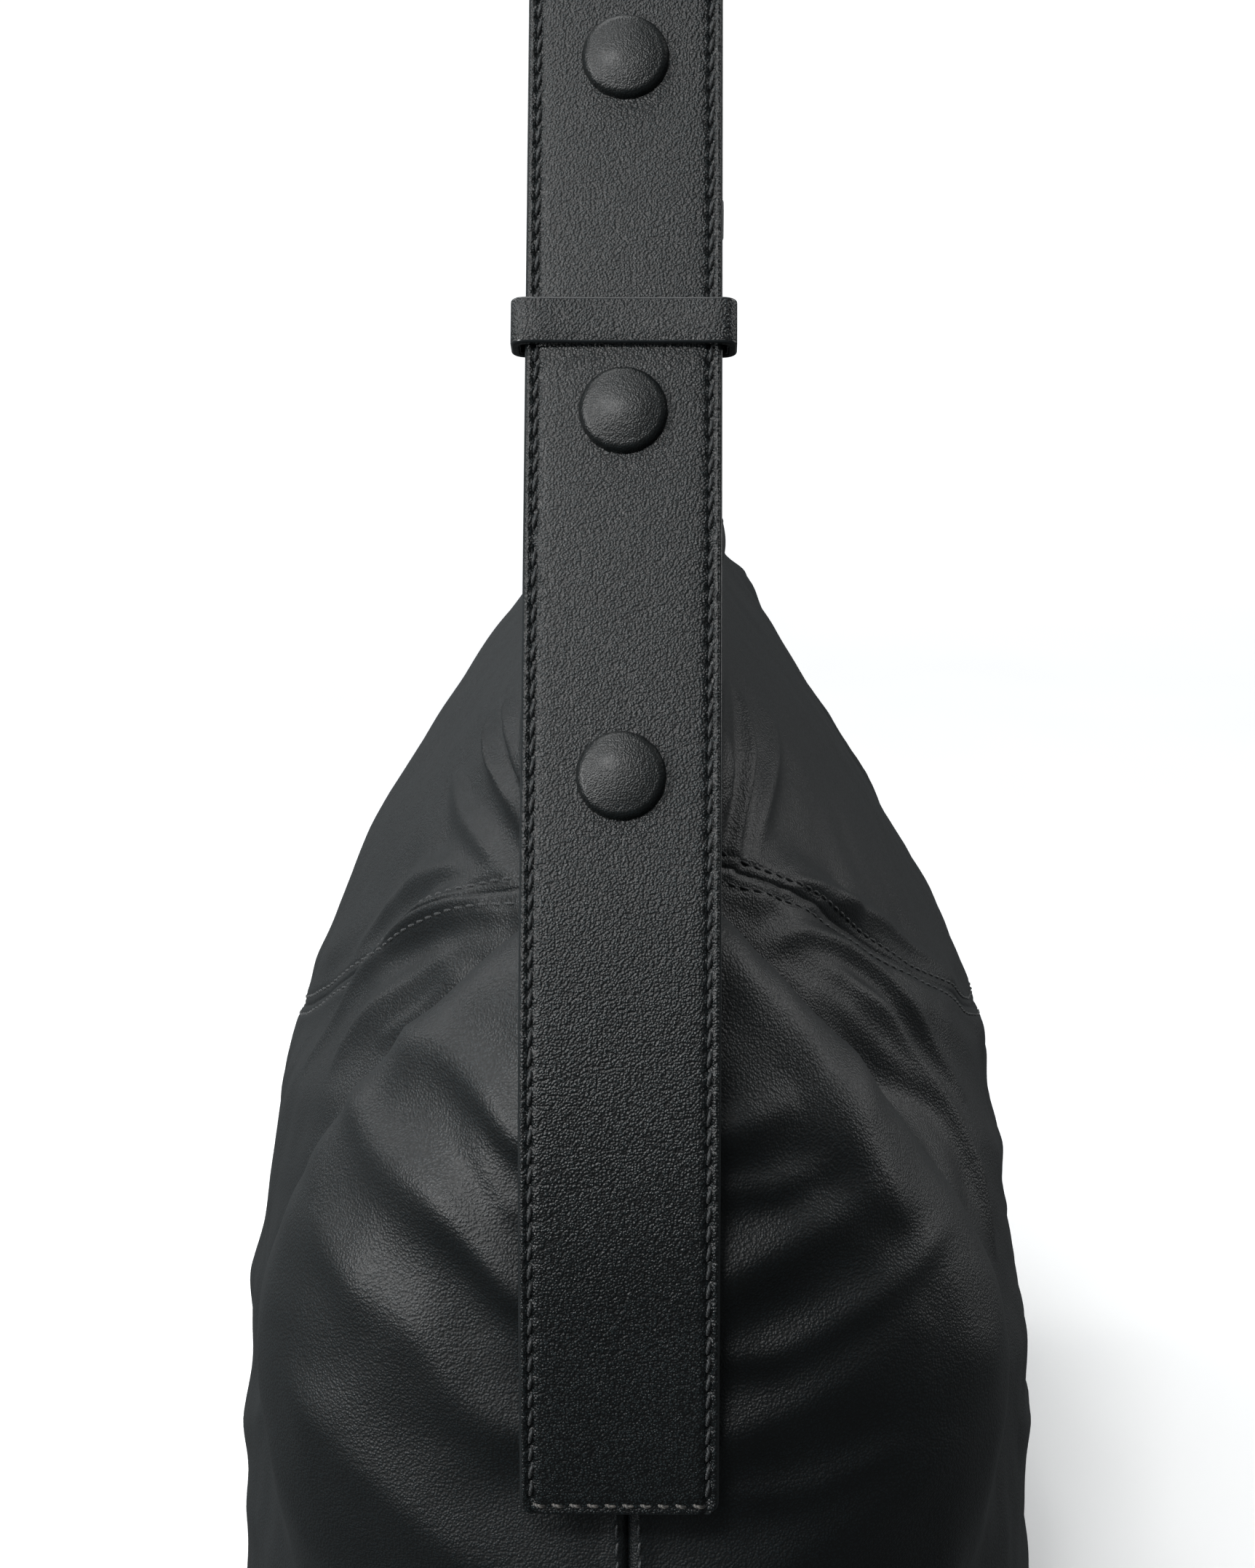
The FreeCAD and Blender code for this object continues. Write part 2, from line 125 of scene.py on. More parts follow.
def makePiece(name, verts, faces, materials, slots=None, smooth=True):
    mesh = bpy.data.meshes.new(name)
    mesh.from_pydata([tuple(v) for v in np.asarray(verts)], [], [tuple(f) for f in faces])
    for material in materials:
        mesh.materials.append(material)
    if slots is not None:
        mesh.polygons.foreach_set("material_index", np.asarray(slots, np.int32))
    mesh.polygons.foreach_set("use_smooth", [smooth] * len(mesh.polygons))
    mesh.validate()
    faceOutwards(mesh)
    piece = bpy.data.objects.new(name, mesh)
    bpy.context.scene.collection.objects.link(piece)
    return piece


def gridFaces(rows, columns, closed, start=0):
    # quads of a grid of points; closed joins the last column to the first
    across = columns if closed else columns - 1
    r, c = np.meshgrid(np.arange(rows - 1), np.arange(across), indexing="ij")
    n = (c + 1) % columns
    quads = np.stack([r * columns + c, r * columns + n, (r + 1) * columns + n, (r + 1) * columns + c], -1)
    return (quads.reshape(-1, 4) + start).tolist()


def gridNormals(points, closed):
    # outward normals of a grid of points whose columns run round and rows run up
    if closed:
        around = np.roll(points, -1, 1) - np.roll(points, 1, 1)
    else:
        around = np.gradient(points, axis=1)
    up = np.gradient(points, axis=0)
    normals = np.cross(around, up)
    return normals / np.maximum(np.linalg.norm(normals, axis=-1, keepdims=True), 1e-12)


# strap's path, read from the frame

strapShape = {
    "widestHeight": 150 * mm,
    "lowerRadius": 411 * mm,
    "bendRadius": 230 * mm,
    "ply": 2.2 * mm,
    "halfWidth": 20 * mm,
    "snapPitch": 75 * mm,
    "cornerRadius": 3 * mm,
}
flapLow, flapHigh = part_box("near_flap_outer")
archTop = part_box("arch_outer")[1][2]
slideAxis = joints["near_keeper_slide"]["axis"]
lean = math.atan2(-slideAxis[0], slideAxis[2])
widestX = flapHigh[0]
along = np.array([-math.sin(lean), 0, math.cos(lean)])
outward = np.array([math.cos(lean), 0, math.sin(lean)])
lowerCentre = np.array([widestX - strapShape["lowerRadius"], 0, strapShape["widestHeight"]])
bendCentre = np.array([widestX - strapShape["bendRadius"], 0, strapShape["widestHeight"]])
lowerLean = math.asin((strapShape["widestHeight"] - flapLow[2]) / strapShape["lowerRadius"])
straightStart = bendCentre + outward * strapShape["bendRadius"]
riseLeft = (1 - math.sin(lean)) / math.cos(lean)
straightRun = ((archTop - straightStart[2] - straightStart[0] * riseLeft)
               / (math.cos(lean) - math.sin(lean) * riseLeft))
straightEnd = straightStart + along * straightRun
archRadius = straightEnd[0] / math.cos(lean)
archCentre = straightEnd - outward * archRadius
straightAt = lowerLean * strapShape["lowerRadius"] + lean * strapShape["bendRadius"]
archAt = straightAt + straightRun
apexAt = archAt + archRadius * (math.pi / 2 - lean)
swingHeight = joints["strap_swing"]["pos_m"][2]
middleSnapAt = straightAt + (swingHeight - straightStart[2]) / math.cos(lean)
snapPlaces = [middleSnapAt + k * strapShape["snapPitch"] for k in (-1, 0, 1)]
flapHingeHeight = joints["near_flap_lift"]["pos_m"][2]
flapHingeAt = straightAt + (flapHingeHeight - straightStart[2]) / math.cos(lean)
strapThickness = 2 * strapShape["ply"]


def strapPoint(place, depth, y=0.0):
    # place runs from the near tip over the apex to the far tip; depth goes in from the outer face
    place, depth, y = np.broadcast_arrays(
        np.asarray(place, float), np.asarray(depth, float), np.asarray(y, float))
    farSide = place > apexAt
    s = np.where(farSide, 2 * apexAt - place, place)
    lowerEnd = lowerLean * strapShape["lowerRadius"]
    angle = np.where(s < lowerEnd, s / strapShape["lowerRadius"] - lowerLean,
                     (s - lowerEnd) / strapShape["bendRadius"])
    angle = np.where(s >= straightAt, lean, angle)
    angle = np.where(s >= archAt, lean + (s - archAt) / archRadius, angle)
    centreX = np.where(s < lowerEnd, lowerCentre[0], bendCentre[0])
    centreZ = np.full(s.shape, strapShape["widestHeight"])
    radius = np.where(s < lowerEnd, strapShape["lowerRadius"], strapShape["bendRadius"])
    centreX = np.where(s >= archAt, archCentre[0], centreX)
    centreZ = np.where(s >= archAt, archCentre[2], centreZ)
    radius = np.where(s >= archAt, archRadius, radius)
    ahead = np.where((s >= straightAt) & (s < archAt), s - straightAt, 0.0)
    x = centreX + np.cos(angle) * (radius - depth) + along[0] * ahead
    z = centreZ + np.sin(angle) * (radius - depth) + along[2] * ahead
    return np.stack([np.where(farSide, -x, x), y, z], -1)


def strapNormal(place):
    return (strapPoint(place, 0.0) - strapPoint(place, 1 * mm)) / mm


# materials

def newMaterial(name, **values):
    material = bpy.data.materials.new(name)
    material.use_nodes = True
    shader = material.node_tree.nodes["Principled BSDF"]
    for socket, value in values.items():
        shader.inputs[socket.replace("_", " ")].default_value = value
    return material


def addNode(material, kind, settings=None, links=None):
    # one node, its settings by socket or property name, and what feeds it
    tree = material.node_tree
    node = tree.nodes.new("ShaderNode" + kind)
    for key, value in (settings or {}).items():
        if isinstance(key, int) or key in node.inputs:
            node.inputs[key].default_value = value
        else:
            setattr(node, key, value)
    for key, source in (links or {}).items():
        tree.links.new(source, node.inputs[key])
    return node


def feedShader(material, socket, source):
    material.node_tree.links.new(source, material.node_tree.nodes["Principled BSDF"].inputs[socket])


def leather(name, look):
    # full-grain hide, coloured right through with dye and finished; the eye sees rounded grain cells with
    # fine creases between them, a satin sheen that breaks up over the grain, and slow uneven wear; the
    # creases between the cells are darkened with painted shade
    material = newMaterial(name, IOR=1.46, Coat_Weight=look["coat"], Coat_Roughness=look["coatRoughness"])
    place = addNode(material, "TexCoord").outputs["Object"]
    warp = addNode(material, "TexNoise", {"Scale": 0.35 / (look["grain"] * mm), "Detail": 2.0},
                   {"Vector": place})
    bent = addNode(material, "VectorMath",
                   {"operation": "MULTIPLY_ADD", 1: [look["grain"] * mm * 0.9] * 3},
                   {0: warp.outputs["Color"], 2: place}).outputs[0]
    cells = addNode(material, "TexVoronoi",
                    {"feature": "SMOOTH_F1", "Scale": 1 / (look["grain"] * mm), "Smoothness": 0.35},
                    {"Vector": bent})
    fine = addNode(material, "TexNoise", {"Scale": 2.2 / (look["grain"] * mm), "Detail": 3.0},
                   {"Vector": place})
    patches = addNode(material, "TexNoise", {"Scale": 28.0, "Detail": 4.0, "Roughness": 0.6},
                      {"Vector": place})
    creases = addNode(material, "TexNoise", {"Scale": 1 / (look["crease"] * mm), "Detail": 5.0,
                                             "Roughness": 0.65, "Distortion": 0.8}, {"Vector": place})
    wear = addNode(material, "MapRange", {"From Min": 0.35, "From Max": 0.7, "To Min": 0.0, "To Max": 1.0},
                   {"Value": patches.outputs["Fac"]})
    colour = addNode(material, "Mix", {"data_type": "RGBA", 6: toLinear(look["dark"]),
                                       7: toLinear(look["light"])}, {0: wear.outputs["Result"]})
    # painted shade: the colour darkens towards a near-black in the creases between grain cells
    paintedCreviceShade = addNode(material, "MapRange",
                      {"From Min": 0.12, "From Max": 0.5, "To Min": 0.0, "To Max": 1.0},
                      {"Value": cells.outputs["Distance"]})
    creviceShadedColour = addNode(material, "Mix", {"data_type": "RGBA", 7: toLinear(look["paintedCreviceShade"])},
                   {0: paintedCreviceShade.outputs["Result"], 6: colour.outputs[2]})
    feedShader(material, "Base Color", creviceShadedColour.outputs[2])
    rough = addNode(material, "MapRange", {"From Min": 0.0, "From Max": 0.75,
                                           "To Min": look["roughness"] - 0.07,
                                           "To Max": look["roughness"] + 0.1},
                    {"Value": cells.outputs["Distance"]})
    uneven = addNode(material, "Math", {"operation": "MULTIPLY_ADD", 1: 0.12},
                     {0: patches.outputs["Fac"], 2: rough.outputs["Result"]})
    feedShader(material, "Roughness", uneven.outputs[0])
    grain = addNode(material, "Bump",
                    {"Strength": look["bump"], "Distance": look["relief"] * mm, "invert": True},
                    {"Height": cells.outputs["Distance"]})
    pores = addNode(material, "Bump", {"Strength": look["bump"] * 0.55, "Distance": 0.07 * mm},
                    {"Height": fine.outputs["Fac"], "Normal": grain.outputs[0]})
    folds = addNode(material, "Bump", {"Strength": look["creaseBump"], "Distance": 0.5 * mm},
                    {"Height": creases.outputs["Fac"], "Normal": pores.outputs[0]})
    feedShader(material, "Normal", folds.outputs[0])
    return material


# each look's crevice colour is painted shade for the creases between the grain cells
strapLeather = leather("pebbledCalfStrap", {
    "grain": 0.5, "relief": 0.22, "crease": 9.0, "bump": 1.0, "creaseBump": 0.05, "roughness": 0.27,
    "dark": "#1c2325", "light": "#283032", "paintedCreviceShade": "#040607", "coat": 0.05, "coatRoughness": 0.3})
bodyLeather = leather("softNappaBody", {
    "grain": 0.55, "relief": 0.3, "crease": 7.0, "bump": 0.5, "creaseBump": 0.14, "roughness": 0.38,
    "dark": "#12181b", "light": "#192124", "paintedCreviceShade": "#06090a", "coat": 0.04, "coatRoughness": 0.35})
coverLeather = leather("thinSkivedCover", {
    "grain": 0.4, "relief": 0.3, "crease": 5.0, "bump": 0.35, "creaseBump": 0.1, "roughness": 0.3,
    "dark": "#13191b", "light": "#1b2224", "paintedCreviceShade": "#060909", "coat": 0.08, "coatRoughness": 0.25})


edgeLook = {"dark": "#0e1112", "light": "#171b1d", "roughness": (0.16, 0.36)}
twillLook = {"dark": "#191a1c", "light": "#393b3e", "roughness": (0.75, 0.95)}
steelLook = {"dark": "#8d8a86", "light": "#b3b1ad", "roughness": (0.22, 0.42)}
boardLook = {"dark": "#4a4036", "light": "#7d6f60", "roughness": (0.7, 0.95)}


def edgePaintFinish():
    # acrylic edge dressing, brushed on and burnished: a glossy bead, slightly wavy
    material = newMaterial("burnishedEdgePaint", IOR=1.49, Coat_Weight=0.3, Coat_Roughness=0.12)
    place = addNode(material, "TexCoord").outputs["Object"]
    waves = addNode(material, "TexNoise", {"Scale": 260.0, "Detail": 3.0}, {"Vector": place})
    colour = addNode(material, "Mix", {"data_type": "RGBA", 6: toLinear(edgeLook["dark"]),
                                       7: toLinear(edgeLook["light"])}, {0: waves.outputs["Fac"]})
    feedShader(material, "Base Color", colour.outputs[2])
    rough = addNode(material, "MapRange", {"To Min": edgeLook["roughness"][0],
                                           "To Max": edgeLook["roughness"][1]},
                    {"Value": waves.outputs["Fac"]})
    feedShader(material, "Roughness", rough.outputs["Result"])
    relief = addNode(material, "Bump", {"Strength": 0.25, "Distance": 0.2 * mm},
                     {"Height": waves.outputs["Fac"]})
    feedShader(material, "Normal", relief.outputs[0])
    return material


def threadFinish(name, dark, light):
    # bonded polyester thread, twisted from plies 0.35 mm wide: short slanting glints, dull between; the
    # glints are painted highlight, a lighter colour along each ply
    material = newMaterial(name, IOR=1.55, Sheen_Weight=0.15, Sheen_Roughness=0.4)
    place = addNode(material, "TexCoord").outputs["Object"]
    plies = addNode(material, "TexWave", {"bands_direction": "DIAGONAL", "Scale": 0.31 / (0.45 * mm),
                                          "Distortion": 0.6, "Detail": 1.0}, {"Vector": place})
    fuzz = addNode(material, "TexNoise", {"Scale": 5200.0, "Detail": 2.0}, {"Vector": place})
    # painted highlight: the colour lightens along each ply where its glint would be
    colour = addNode(material, "Mix", {"data_type": "RGBA", 6: toLinear(dark), 7: toLinear(light)},
                     {0: plies.outputs["Fac"]})
    feedShader(material, "Base Color", colour.outputs[2])
    rough = addNode(material, "MapRange", {"To Min": 0.45, "To Max": 0.7}, {"Value": fuzz.outputs["Fac"]})
    feedShader(material, "Roughness", rough.outputs["Result"])
    relief = addNode(material, "Bump", {"Strength": 0.8, "Distance": 0.12 * mm},
                     {"Height": plies.outputs["Fac"]})
    feedShader(material, "Normal", relief.outputs[0])
    return material


def twillFinish():
    # cotton twill lining: yarns 0.5 mm apart, drawn at 0.8 mm so that the diagonals still show
    material = newMaterial("cottonTwillLining", IOR=1.45, Sheen_Weight=0.3, Sheen_Roughness=0.5)
    place = addNode(material, "TexCoord").outputs["Object"]
    yarns = addNode(material, "TexWave", {"bands_direction": "DIAGONAL", "Scale": 0.31 / (0.8 * mm),
                                          "Distortion": 0.3}, {"Vector": place})
    slubs = addNode(material, "TexNoise", {"Scale": 700.0, "Detail": 3.0}, {"Vector": place})
    mixed = addNode(material, "Math", {"operation": "MULTIPLY"},
                    {0: yarns.outputs["Fac"], 1: slubs.outputs["Fac"]})
    colour = addNode(material, "Mix", {"data_type": "RGBA", 6: toLinear(twillLook["dark"]),
                                       7: toLinear(twillLook["light"])}, {0: mixed.outputs[0]})
    feedShader(material, "Base Color", colour.outputs[2])
    rough = addNode(material, "MapRange", {"To Min": twillLook["roughness"][0],
                                           "To Max": twillLook["roughness"][1]},
                    {"Value": slubs.outputs["Fac"]})
    feedShader(material, "Roughness", rough.outputs["Result"])
    relief = addNode(material, "Bump", {"Strength": 0.6, "Distance": 0.25 * mm}, {"Height": mixed.outputs[0]})
    feedShader(material, "Normal", relief.outputs[0])
    return material


def steelFinish():
    # nickel-plated pressed steel: grey, softly brushed by the tumbling drum
    material = newMaterial("nickelPlatedSteel", Metallic=1.0)
    place = addNode(material, "TexCoord").outputs["Object"]
    long = addNode(material, "Mapping", {"Scale": [1.0, 14.0, 1.0]}, {"Vector": place})
    lines = addNode(material, "TexNoise", {"Scale": 900.0, "Detail": 4.0}, {"Vector": long.outputs[0]})
    colour = addNode(material, "Mix", {"data_type": "RGBA", 6: toLinear(steelLook["dark"]),
                                       7: toLinear(steelLook["light"])}, {0: lines.outputs["Fac"]})
    feedShader(material, "Base Color", colour.outputs[2])
    rough = addNode(material, "MapRange", {"To Min": steelLook["roughness"][0],
                                           "To Max": steelLook["roughness"][1]},
                    {"Value": lines.outputs["Fac"]})
    feedShader(material, "Roughness", rough.outputs["Result"])
    return material


def fibreBoardFinish():
    # pressed leather-fibre board: brown-grey with short pale fibres
    material = newMaterial("pressedFibreBoard", IOR=1.5)
    place = addNode(material, "TexCoord").outputs["Object"]
    fibres = addNode(material, "TexNoise", {"Scale": 800.0, "Detail": 6.0, "Distortion": 1.5},
                     {"Vector": place})
    colour = addNode(material, "Mix", {"data_type": "RGBA", 6: toLinear(boardLook["dark"]),
                                       7: toLinear(boardLook["light"])}, {0: fibres.outputs["Fac"]})
    feedShader(material, "Base Color", colour.outputs[2])
    rough = addNode(material, "MapRange", {"To Min": boardLook["roughness"][0],
                                           "To Max": boardLook["roughness"][1]},
                    {"Value": fibres.outputs["Fac"]})
    feedShader(material, "Roughness", rough.outputs["Result"])
    return material


edgePaint = edgePaintFinish()
darkThread = threadFinish("bondedThreadBlack", "#0d0f10", "#2a2e30")
# the same black thread again, made paler: painted highlight for the row across the tip, which catches the
# light where it lies crosswise
paintedGlintThread = threadFinish("bondedThreadBlackPaintedGlint", "#2b2a29", "#65625e")
twill = twillFinish()
steel = steelFinish()
fibreBoard = fibreBoardFinish()
print("materials ready")


# stitches: short arched lengths of thread that dive into the leather at both ends

def sewRow(name, holes, normals, look, material):
    # one stitch from each hole to the next
    holes, normals = np.asarray(holes), np.asarray(normals)
    sides, stops = 6, 7
    verts, faces = [], []
    for first, last, up in zip(holes, holes[1:], (normals[1:] + normals[:-1]) / 2):
        run = last - first
        length = np.linalg.norm(run)
        run = run / length
        up = up / np.linalg.norm(up)
        side = np.cross(run, up)
        t = np.linspace(0, 1, stops)
        lift = -look["dive"] + (look["rise"] + look["dive"]) * np.sin(math.pi * t) ** 0.7
        slant = (t - 0.5) * look["slant"]
        gap = look["gap"]
        centre = (first + run * (gap + (length - 2 * gap) * t)[:, None]
                  + up * lift[:, None] + side * slant[:, None])
        thick = look["radius"] * (0.55 + 0.45 * np.sin(math.pi * t) ** 0.5)
        turn = np.linspace(0, 2 * math.pi, sides, endpoint=False)
        ring = (side[None, None] * np.cos(turn)[None, :, None]
                + up[None, None] * np.sin(turn)[None, :, None]) * thick[:, None, None]
        start = sum(len(v) for v in verts)
        verts.append((centre[:, None] + ring).reshape(-1, 3))
        faces += gridFaces(stops, sides, True, start)
        faces.append([start + k for k in range(sides)][::-1])
        faces.append([start + (stops - 1) * sides + k for k in range(sides)])
    return makePiece(name, np.concatenate(verts), faces, [material])


# strap

strapLook = {
    "samplesPerStitch": 6,
    "stitchPitch": 3.87 * mm,
    "stitchInset": 2.3 * mm,
    "channelDepth": 0.3 * mm,
    "channelWidth": 0.8 * mm,
    "holeDepth": 0.75 * mm,
    "holeWidth": 0.85 * mm,
    "crown": 0.25 * mm,
    "thread": {"radius": 0.4 * mm, "rise": 0.1 * mm, "dive": 0.6 * mm, "gap": 0.35 * mm,
               "slant": 0.5 * mm},
}
flapTop = flapHingeAt + 18 * mm


def strapProfile():
    # half of the section, from the middle of the outer face round the painted edge to the middle
    # of the inner face: sideways place, depth, whether it is edge paint
    half = strapShape["halfWidth"]
    flat = [(half * f, 0.0, False) for f in (0, 0.12, 0.25, 0.38, 0.5, 0.62, 0.7, 0.77, 0.805)]
    beside = [(half - d * mm, 0.0, False) for d in (3.3, 2.95, 2.6, 2.3, 2.0, 1.65, 1.3, 1.05)]
    shoulder = [(half - 0.8 * mm, 0.04 * mm, False), (half - 0.6 * mm, 0.12 * mm, False),
                (half - 0.48 * mm, 0.3 * mm, False)]
    bead = [(half - 0.42 * mm, 0.36 * mm, True), (half - 0.14 * mm, 0.5 * mm, True),
            (half, 0.85 * mm, True), (half + 0.02 * mm, 1.4 * mm, True),
            (half - 0.06 * mm, 1.95 * mm, True), (half - 0.2 * mm, 2.2 * mm, True)]
    upper = flat + beside + shoulder + bead
    lower = [(y, strapThickness - d, paint) for y, d, paint in upper[-2::-1]]
    return upper + lower


def sewnDent(place, y):
    # how far the thread pulls the leather in, at a place measured from the tip
    look = strapLook
    row = strapShape["halfWidth"] - look["stitchInset"]
    away = np.abs(np.abs(y) - row)
    phase = (place / look["stitchPitch"]) % 1.0
    nearest = np.minimum(phase, 1 - phase) * look["stitchPitch"]
    channel = look["channelDepth"] * bump(away, 0, look["channelWidth"])
    holes = look["holeDepth"] * np.exp(-(away ** 2 + nearest ** 2) / look["holeWidth"] ** 2)
    return channel + holes


def sweepStrap(name, start, end, closedTip):
    # strap between two places; closedTip rounds the start off as the strap's tip
    profile = strapProfile()
    right = np.array([p[:2] for p in profile])
    left = right[-2:0:-1] * [-1, 1]
    ring = np.concatenate([right, left])
    paint = np.array([p[2] for p in profile] + [p[2] for p in profile[-2:0:-1]])
    step = strapLook["stitchPitch"] / strapLook["samplesPerStitch"]
    places = np.linspace(start, end, int(round((end - start) / step)) + 1)
    if closedTip:
        fine = np.array([0.0, 0.04, 0.12, 0.25, 0.42, 0.62, 0.85]) * mm
        places = np.concatenate([fine, places[places > 1.0 * mm]])
    place = places[:, None]
    y = np.repeat(ring[None, :, 0], len(places), 0)
    depth = np.repeat(ring[None, :, 1], len(places), 0)
    fromTip = np.where(place > apexAt, 2 * apexAt - place, place)
    middle = strapThickness / 2
    outside = np.sign(middle - depth)
    dent = sewnDent(fromTip, y)
    half = strapShape["halfWidth"]
    crown = strapLook["crown"] * (1 - (y / half) ** 4) * np.clip(np.abs(middle - depth) / middle, 0, 1) ** 2
    depth = depth + outside * (dent * (np.abs(y) < half - 0.9 * mm) - crown)
    if closedTip:
        r = strapShape["cornerRadius"]
        shrink = np.where(place < r, r - np.sqrt(np.maximum(r ** 2 - (r - place) ** 2, 0)), 0.0)
        y = y - np.sign(y) * shrink * (np.abs(y) / half) ** 5
        edge = 0.8 * mm
        roll = np.where(place < edge, np.sqrt(np.maximum(1 - ((edge - place) / edge) ** 2, 0)), 1.0)
        roll = 0.35 + 0.65 * roll
        depth = middle + (depth - middle) * roll
        across = bump(place, strapLook["stitchInset"], strapLook["channelWidth"])
        inside = np.abs(y) < half - strapLook["stitchInset"]
        depth = depth + outside * strapLook["channelDepth"] * across * inside
    points = strapPoint(np.repeat(place, len(ring), 1), depth, y)
    rows, columns = points.shape[:2]
    faces = gridFaces(rows, columns, True)
    slots = [1 if paint[k % columns] and paint[(k + 1) % columns] else 0 for k in range(len(faces))]
    if closedTip:
        tipRows = int(np.sum(places < 0.5 * mm))
        for k in range(tipRows * columns):
            slots[k] = 1
    # the two ends have points of their own, so that the long faces stay smooth up to them
    total = rows * columns
    faces.append([total + k for k in range(columns)])
    faces.append([total + columns + k for k in range(columns)][::-1])
    slots += [1, 0]
    verts = np.concatenate([points.reshape(-1, 3), points[0], points[-1]])
    return makePiece(name, verts, faces, [strapLeather, edgePaint], slots)


def mirrorPiece(piece, name):
    # the same piece at the far end
    mesh = piece.data.copy()
    for vertex in mesh.vertices:
        vertex.co.x = -vertex.co.x
    mesh.flip_normals()
    twin = bpy.data.objects.new(name, mesh)
    bpy.context.scene.collection.objects.link(twin)
    return twin


def strapRow(name, start, end, y, inner, material):
    # a row of stitches along the strap, on its outer or inner face
    first = math.ceil(start / strapLook["stitchPitch"] - 1e-6)
    last = math.floor(end / strapLook["stitchPitch"] + 1e-6)
    places = np.arange(first, last + 1) * strapLook["stitchPitch"]
    depth = strapThickness if inner else 0.0
    normals = strapNormal(places) * (-1 if inner else 1)
    return sewRow(name, strapPoint(places, depth, y), normals, strapLook["thread"], material)


def joinPieces(name, pieces):
    # one object from several
    bpy.ops.object.select_all(action="DESELECT")
    for piece in pieces:
        piece.select_set(True)
    bpy.context.view_layer.objects.active = pieces[0]
    bpy.ops.object.join()
    pieces[0].name = name
    return pieces[0]


rowY = strapShape["halfWidth"] - strapLook["stitchInset"]


def sewFlap(name):
    # both side rows on both faces, and the row across the tip
    pieces = []
    for inner in (False, True):
        for side in (-1, 1):
            pieces.append(strapRow(name, strapLook["stitchPitch"], flapTop, side * rowY, inner, darkThread))
        steps = np.linspace(-rowY, rowY, 11)
        place = np.full(steps.shape, strapLook["stitchInset"])
        normals = strapNormal(place) * (-1 if inner else 1)
        depth = strapThickness if inner else 0.0
        thick = dict(strapLook["thread"], radius=0.42 * mm, rise=0.26 * mm)
        # the row across the tip is sewn with the copy of the black thread that has painted highlight
        pieces.append(sewRow(name, strapPoint(place, depth, steps), normals, thick, paintedGlintThread))
    return joinPieces(name, pieces)


def buildStrap():
    arch = sweepStrap("strap_arch", flapTop, 2 * apexAt - flapTop, False)
    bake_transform(arch)
    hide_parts("arch_outer", "arch_lining")
    rows = []
    for inner in (False, True):
        for side in (-1, 1):
            rows.append(strapRow("r", flapTop, apexAt, side * rowY, inner, darkThread))
            rows.append(mirrorPiece(rows[-1], "r"))
    archThread = joinPieces("strap_arch_stitches", rows)
    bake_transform(archThread)
    flap = sweepStrap("near_strap_flap", 0, flapTop, True)
    thread = sewFlap("near_flap_stitches")
    flaps = {"near": (flap, thread)}
    flaps["far"] = (mirrorPiece(flap, "far_strap_flap"), mirrorPiece(thread, "far_flap_stitches"))
    for end, (piece, sewing) in flaps.items():
        side = near if end == "near" else far
        high = strapPoint(flapHingeAt + 16 * mm, 0.0) * [side, 1, 1]
        low = strapPoint(flapHingeAt - 18 * mm, 0.0) * [side, 1, 1]
        for part in (piece, sewing):
            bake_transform(part)
        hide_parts(end + "_flap_outer", end + "_flap_lining",
                    end + "_neck_outer", end + "_neck_lining")


buildStrap()
print("strap ready")


# tabs behind the strap

tabLook = {"halfWidth": 18.2 * mm, "thickness": 2.4 * mm, "gap": 0.4 * mm, "lowest": 140 * mm,
           "highest": 318 * mm, "corner": 6 * mm}


def buildTab():
    look = tabLook
    front = strapThickness + look["gap"]
    back = front + look["thickness"]
    places = np.linspace(look["lowest"], look["highest"], 150)
    end = look["highest"]
    shrink = np.where(places > end - look["corner"],
                      look["corner"] - np.sqrt(np.maximum(
                          look["corner"] ** 2 - (places - end + look["corner"]) ** 2, 0)), 0.0)
    ring = [(0, front), (0.5, front), (0.85, front), (0.93, front + 0.05 * mm), (0.985, front + 0.3 * mm),
            (1.0, (front + back) / 2), (0.985, back - 0.3 * mm), (0.93, back - 0.05 * mm),
            (0.85, back), (0.5, back), (0, back)]
    full = ring + [(-y, d) for y, d in ring[-2:0:-1]]
    y = np.array([p[0] for p in full])[None, :] * (look["halfWidth"] - shrink[:, None])
    depth = np.repeat(np.array([p[1] for p in full])[None, :], len(places), 0)
    points = strapPoint(np.repeat(places[:, None], len(full), 1), depth, y)
    faces = gridFaces(len(places), len(full), True)
    painted = [3, 4, 5, 6, 13, 14, 15, 16]
    slots = [1 if k % len(full) in painted else 0 for k in range(len(faces))]
    faces.append(list(range(len(full))))
    faces.append([(len(places) - 1) * len(full) + k for k in range(len(full))][::-1])
    slots += [0, 1]
    tab = makePiece("near_tab_strip", points.reshape(-1, 3), faces, [strapLeather, edgePaint], slots)
    rows = []
    for side in (-1, 1):
        holes = np.arange(look["lowest"] + 60 * mm, end - 6 * mm, strapLook["stitchPitch"])
        rows.append(sewRow("r", strapPoint(holes, back, side * (look["halfWidth"] - 2.2 * mm)),
                           -strapNormal(holes), strapLook["thread"], darkThread))
    sewing = joinPieces("near_tab_stitches", rows)
    tabs = {"near": (tab, sewing)}
    tabs["far"] = (mirrorPiece(tab, "far_tab_strip"), mirrorPiece(sewing, "far_tab_stitches"))
    for name, (piece, thread) in tabs.items():
        for part in (piece, thread):
            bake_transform(part)
        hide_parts(name + "_tab", name + "_tab_foot")


buildTab()
print("tabs ready")


# keeper loops

keeperLook = {"height": 9.7 * mm, "halfWidth": 23 * mm, "wall": 2.1 * mm, "corner": 3.2 * mm,
              "front": 2.5 * mm, "back": 9.1 * mm, "place": 244.5 * mm}


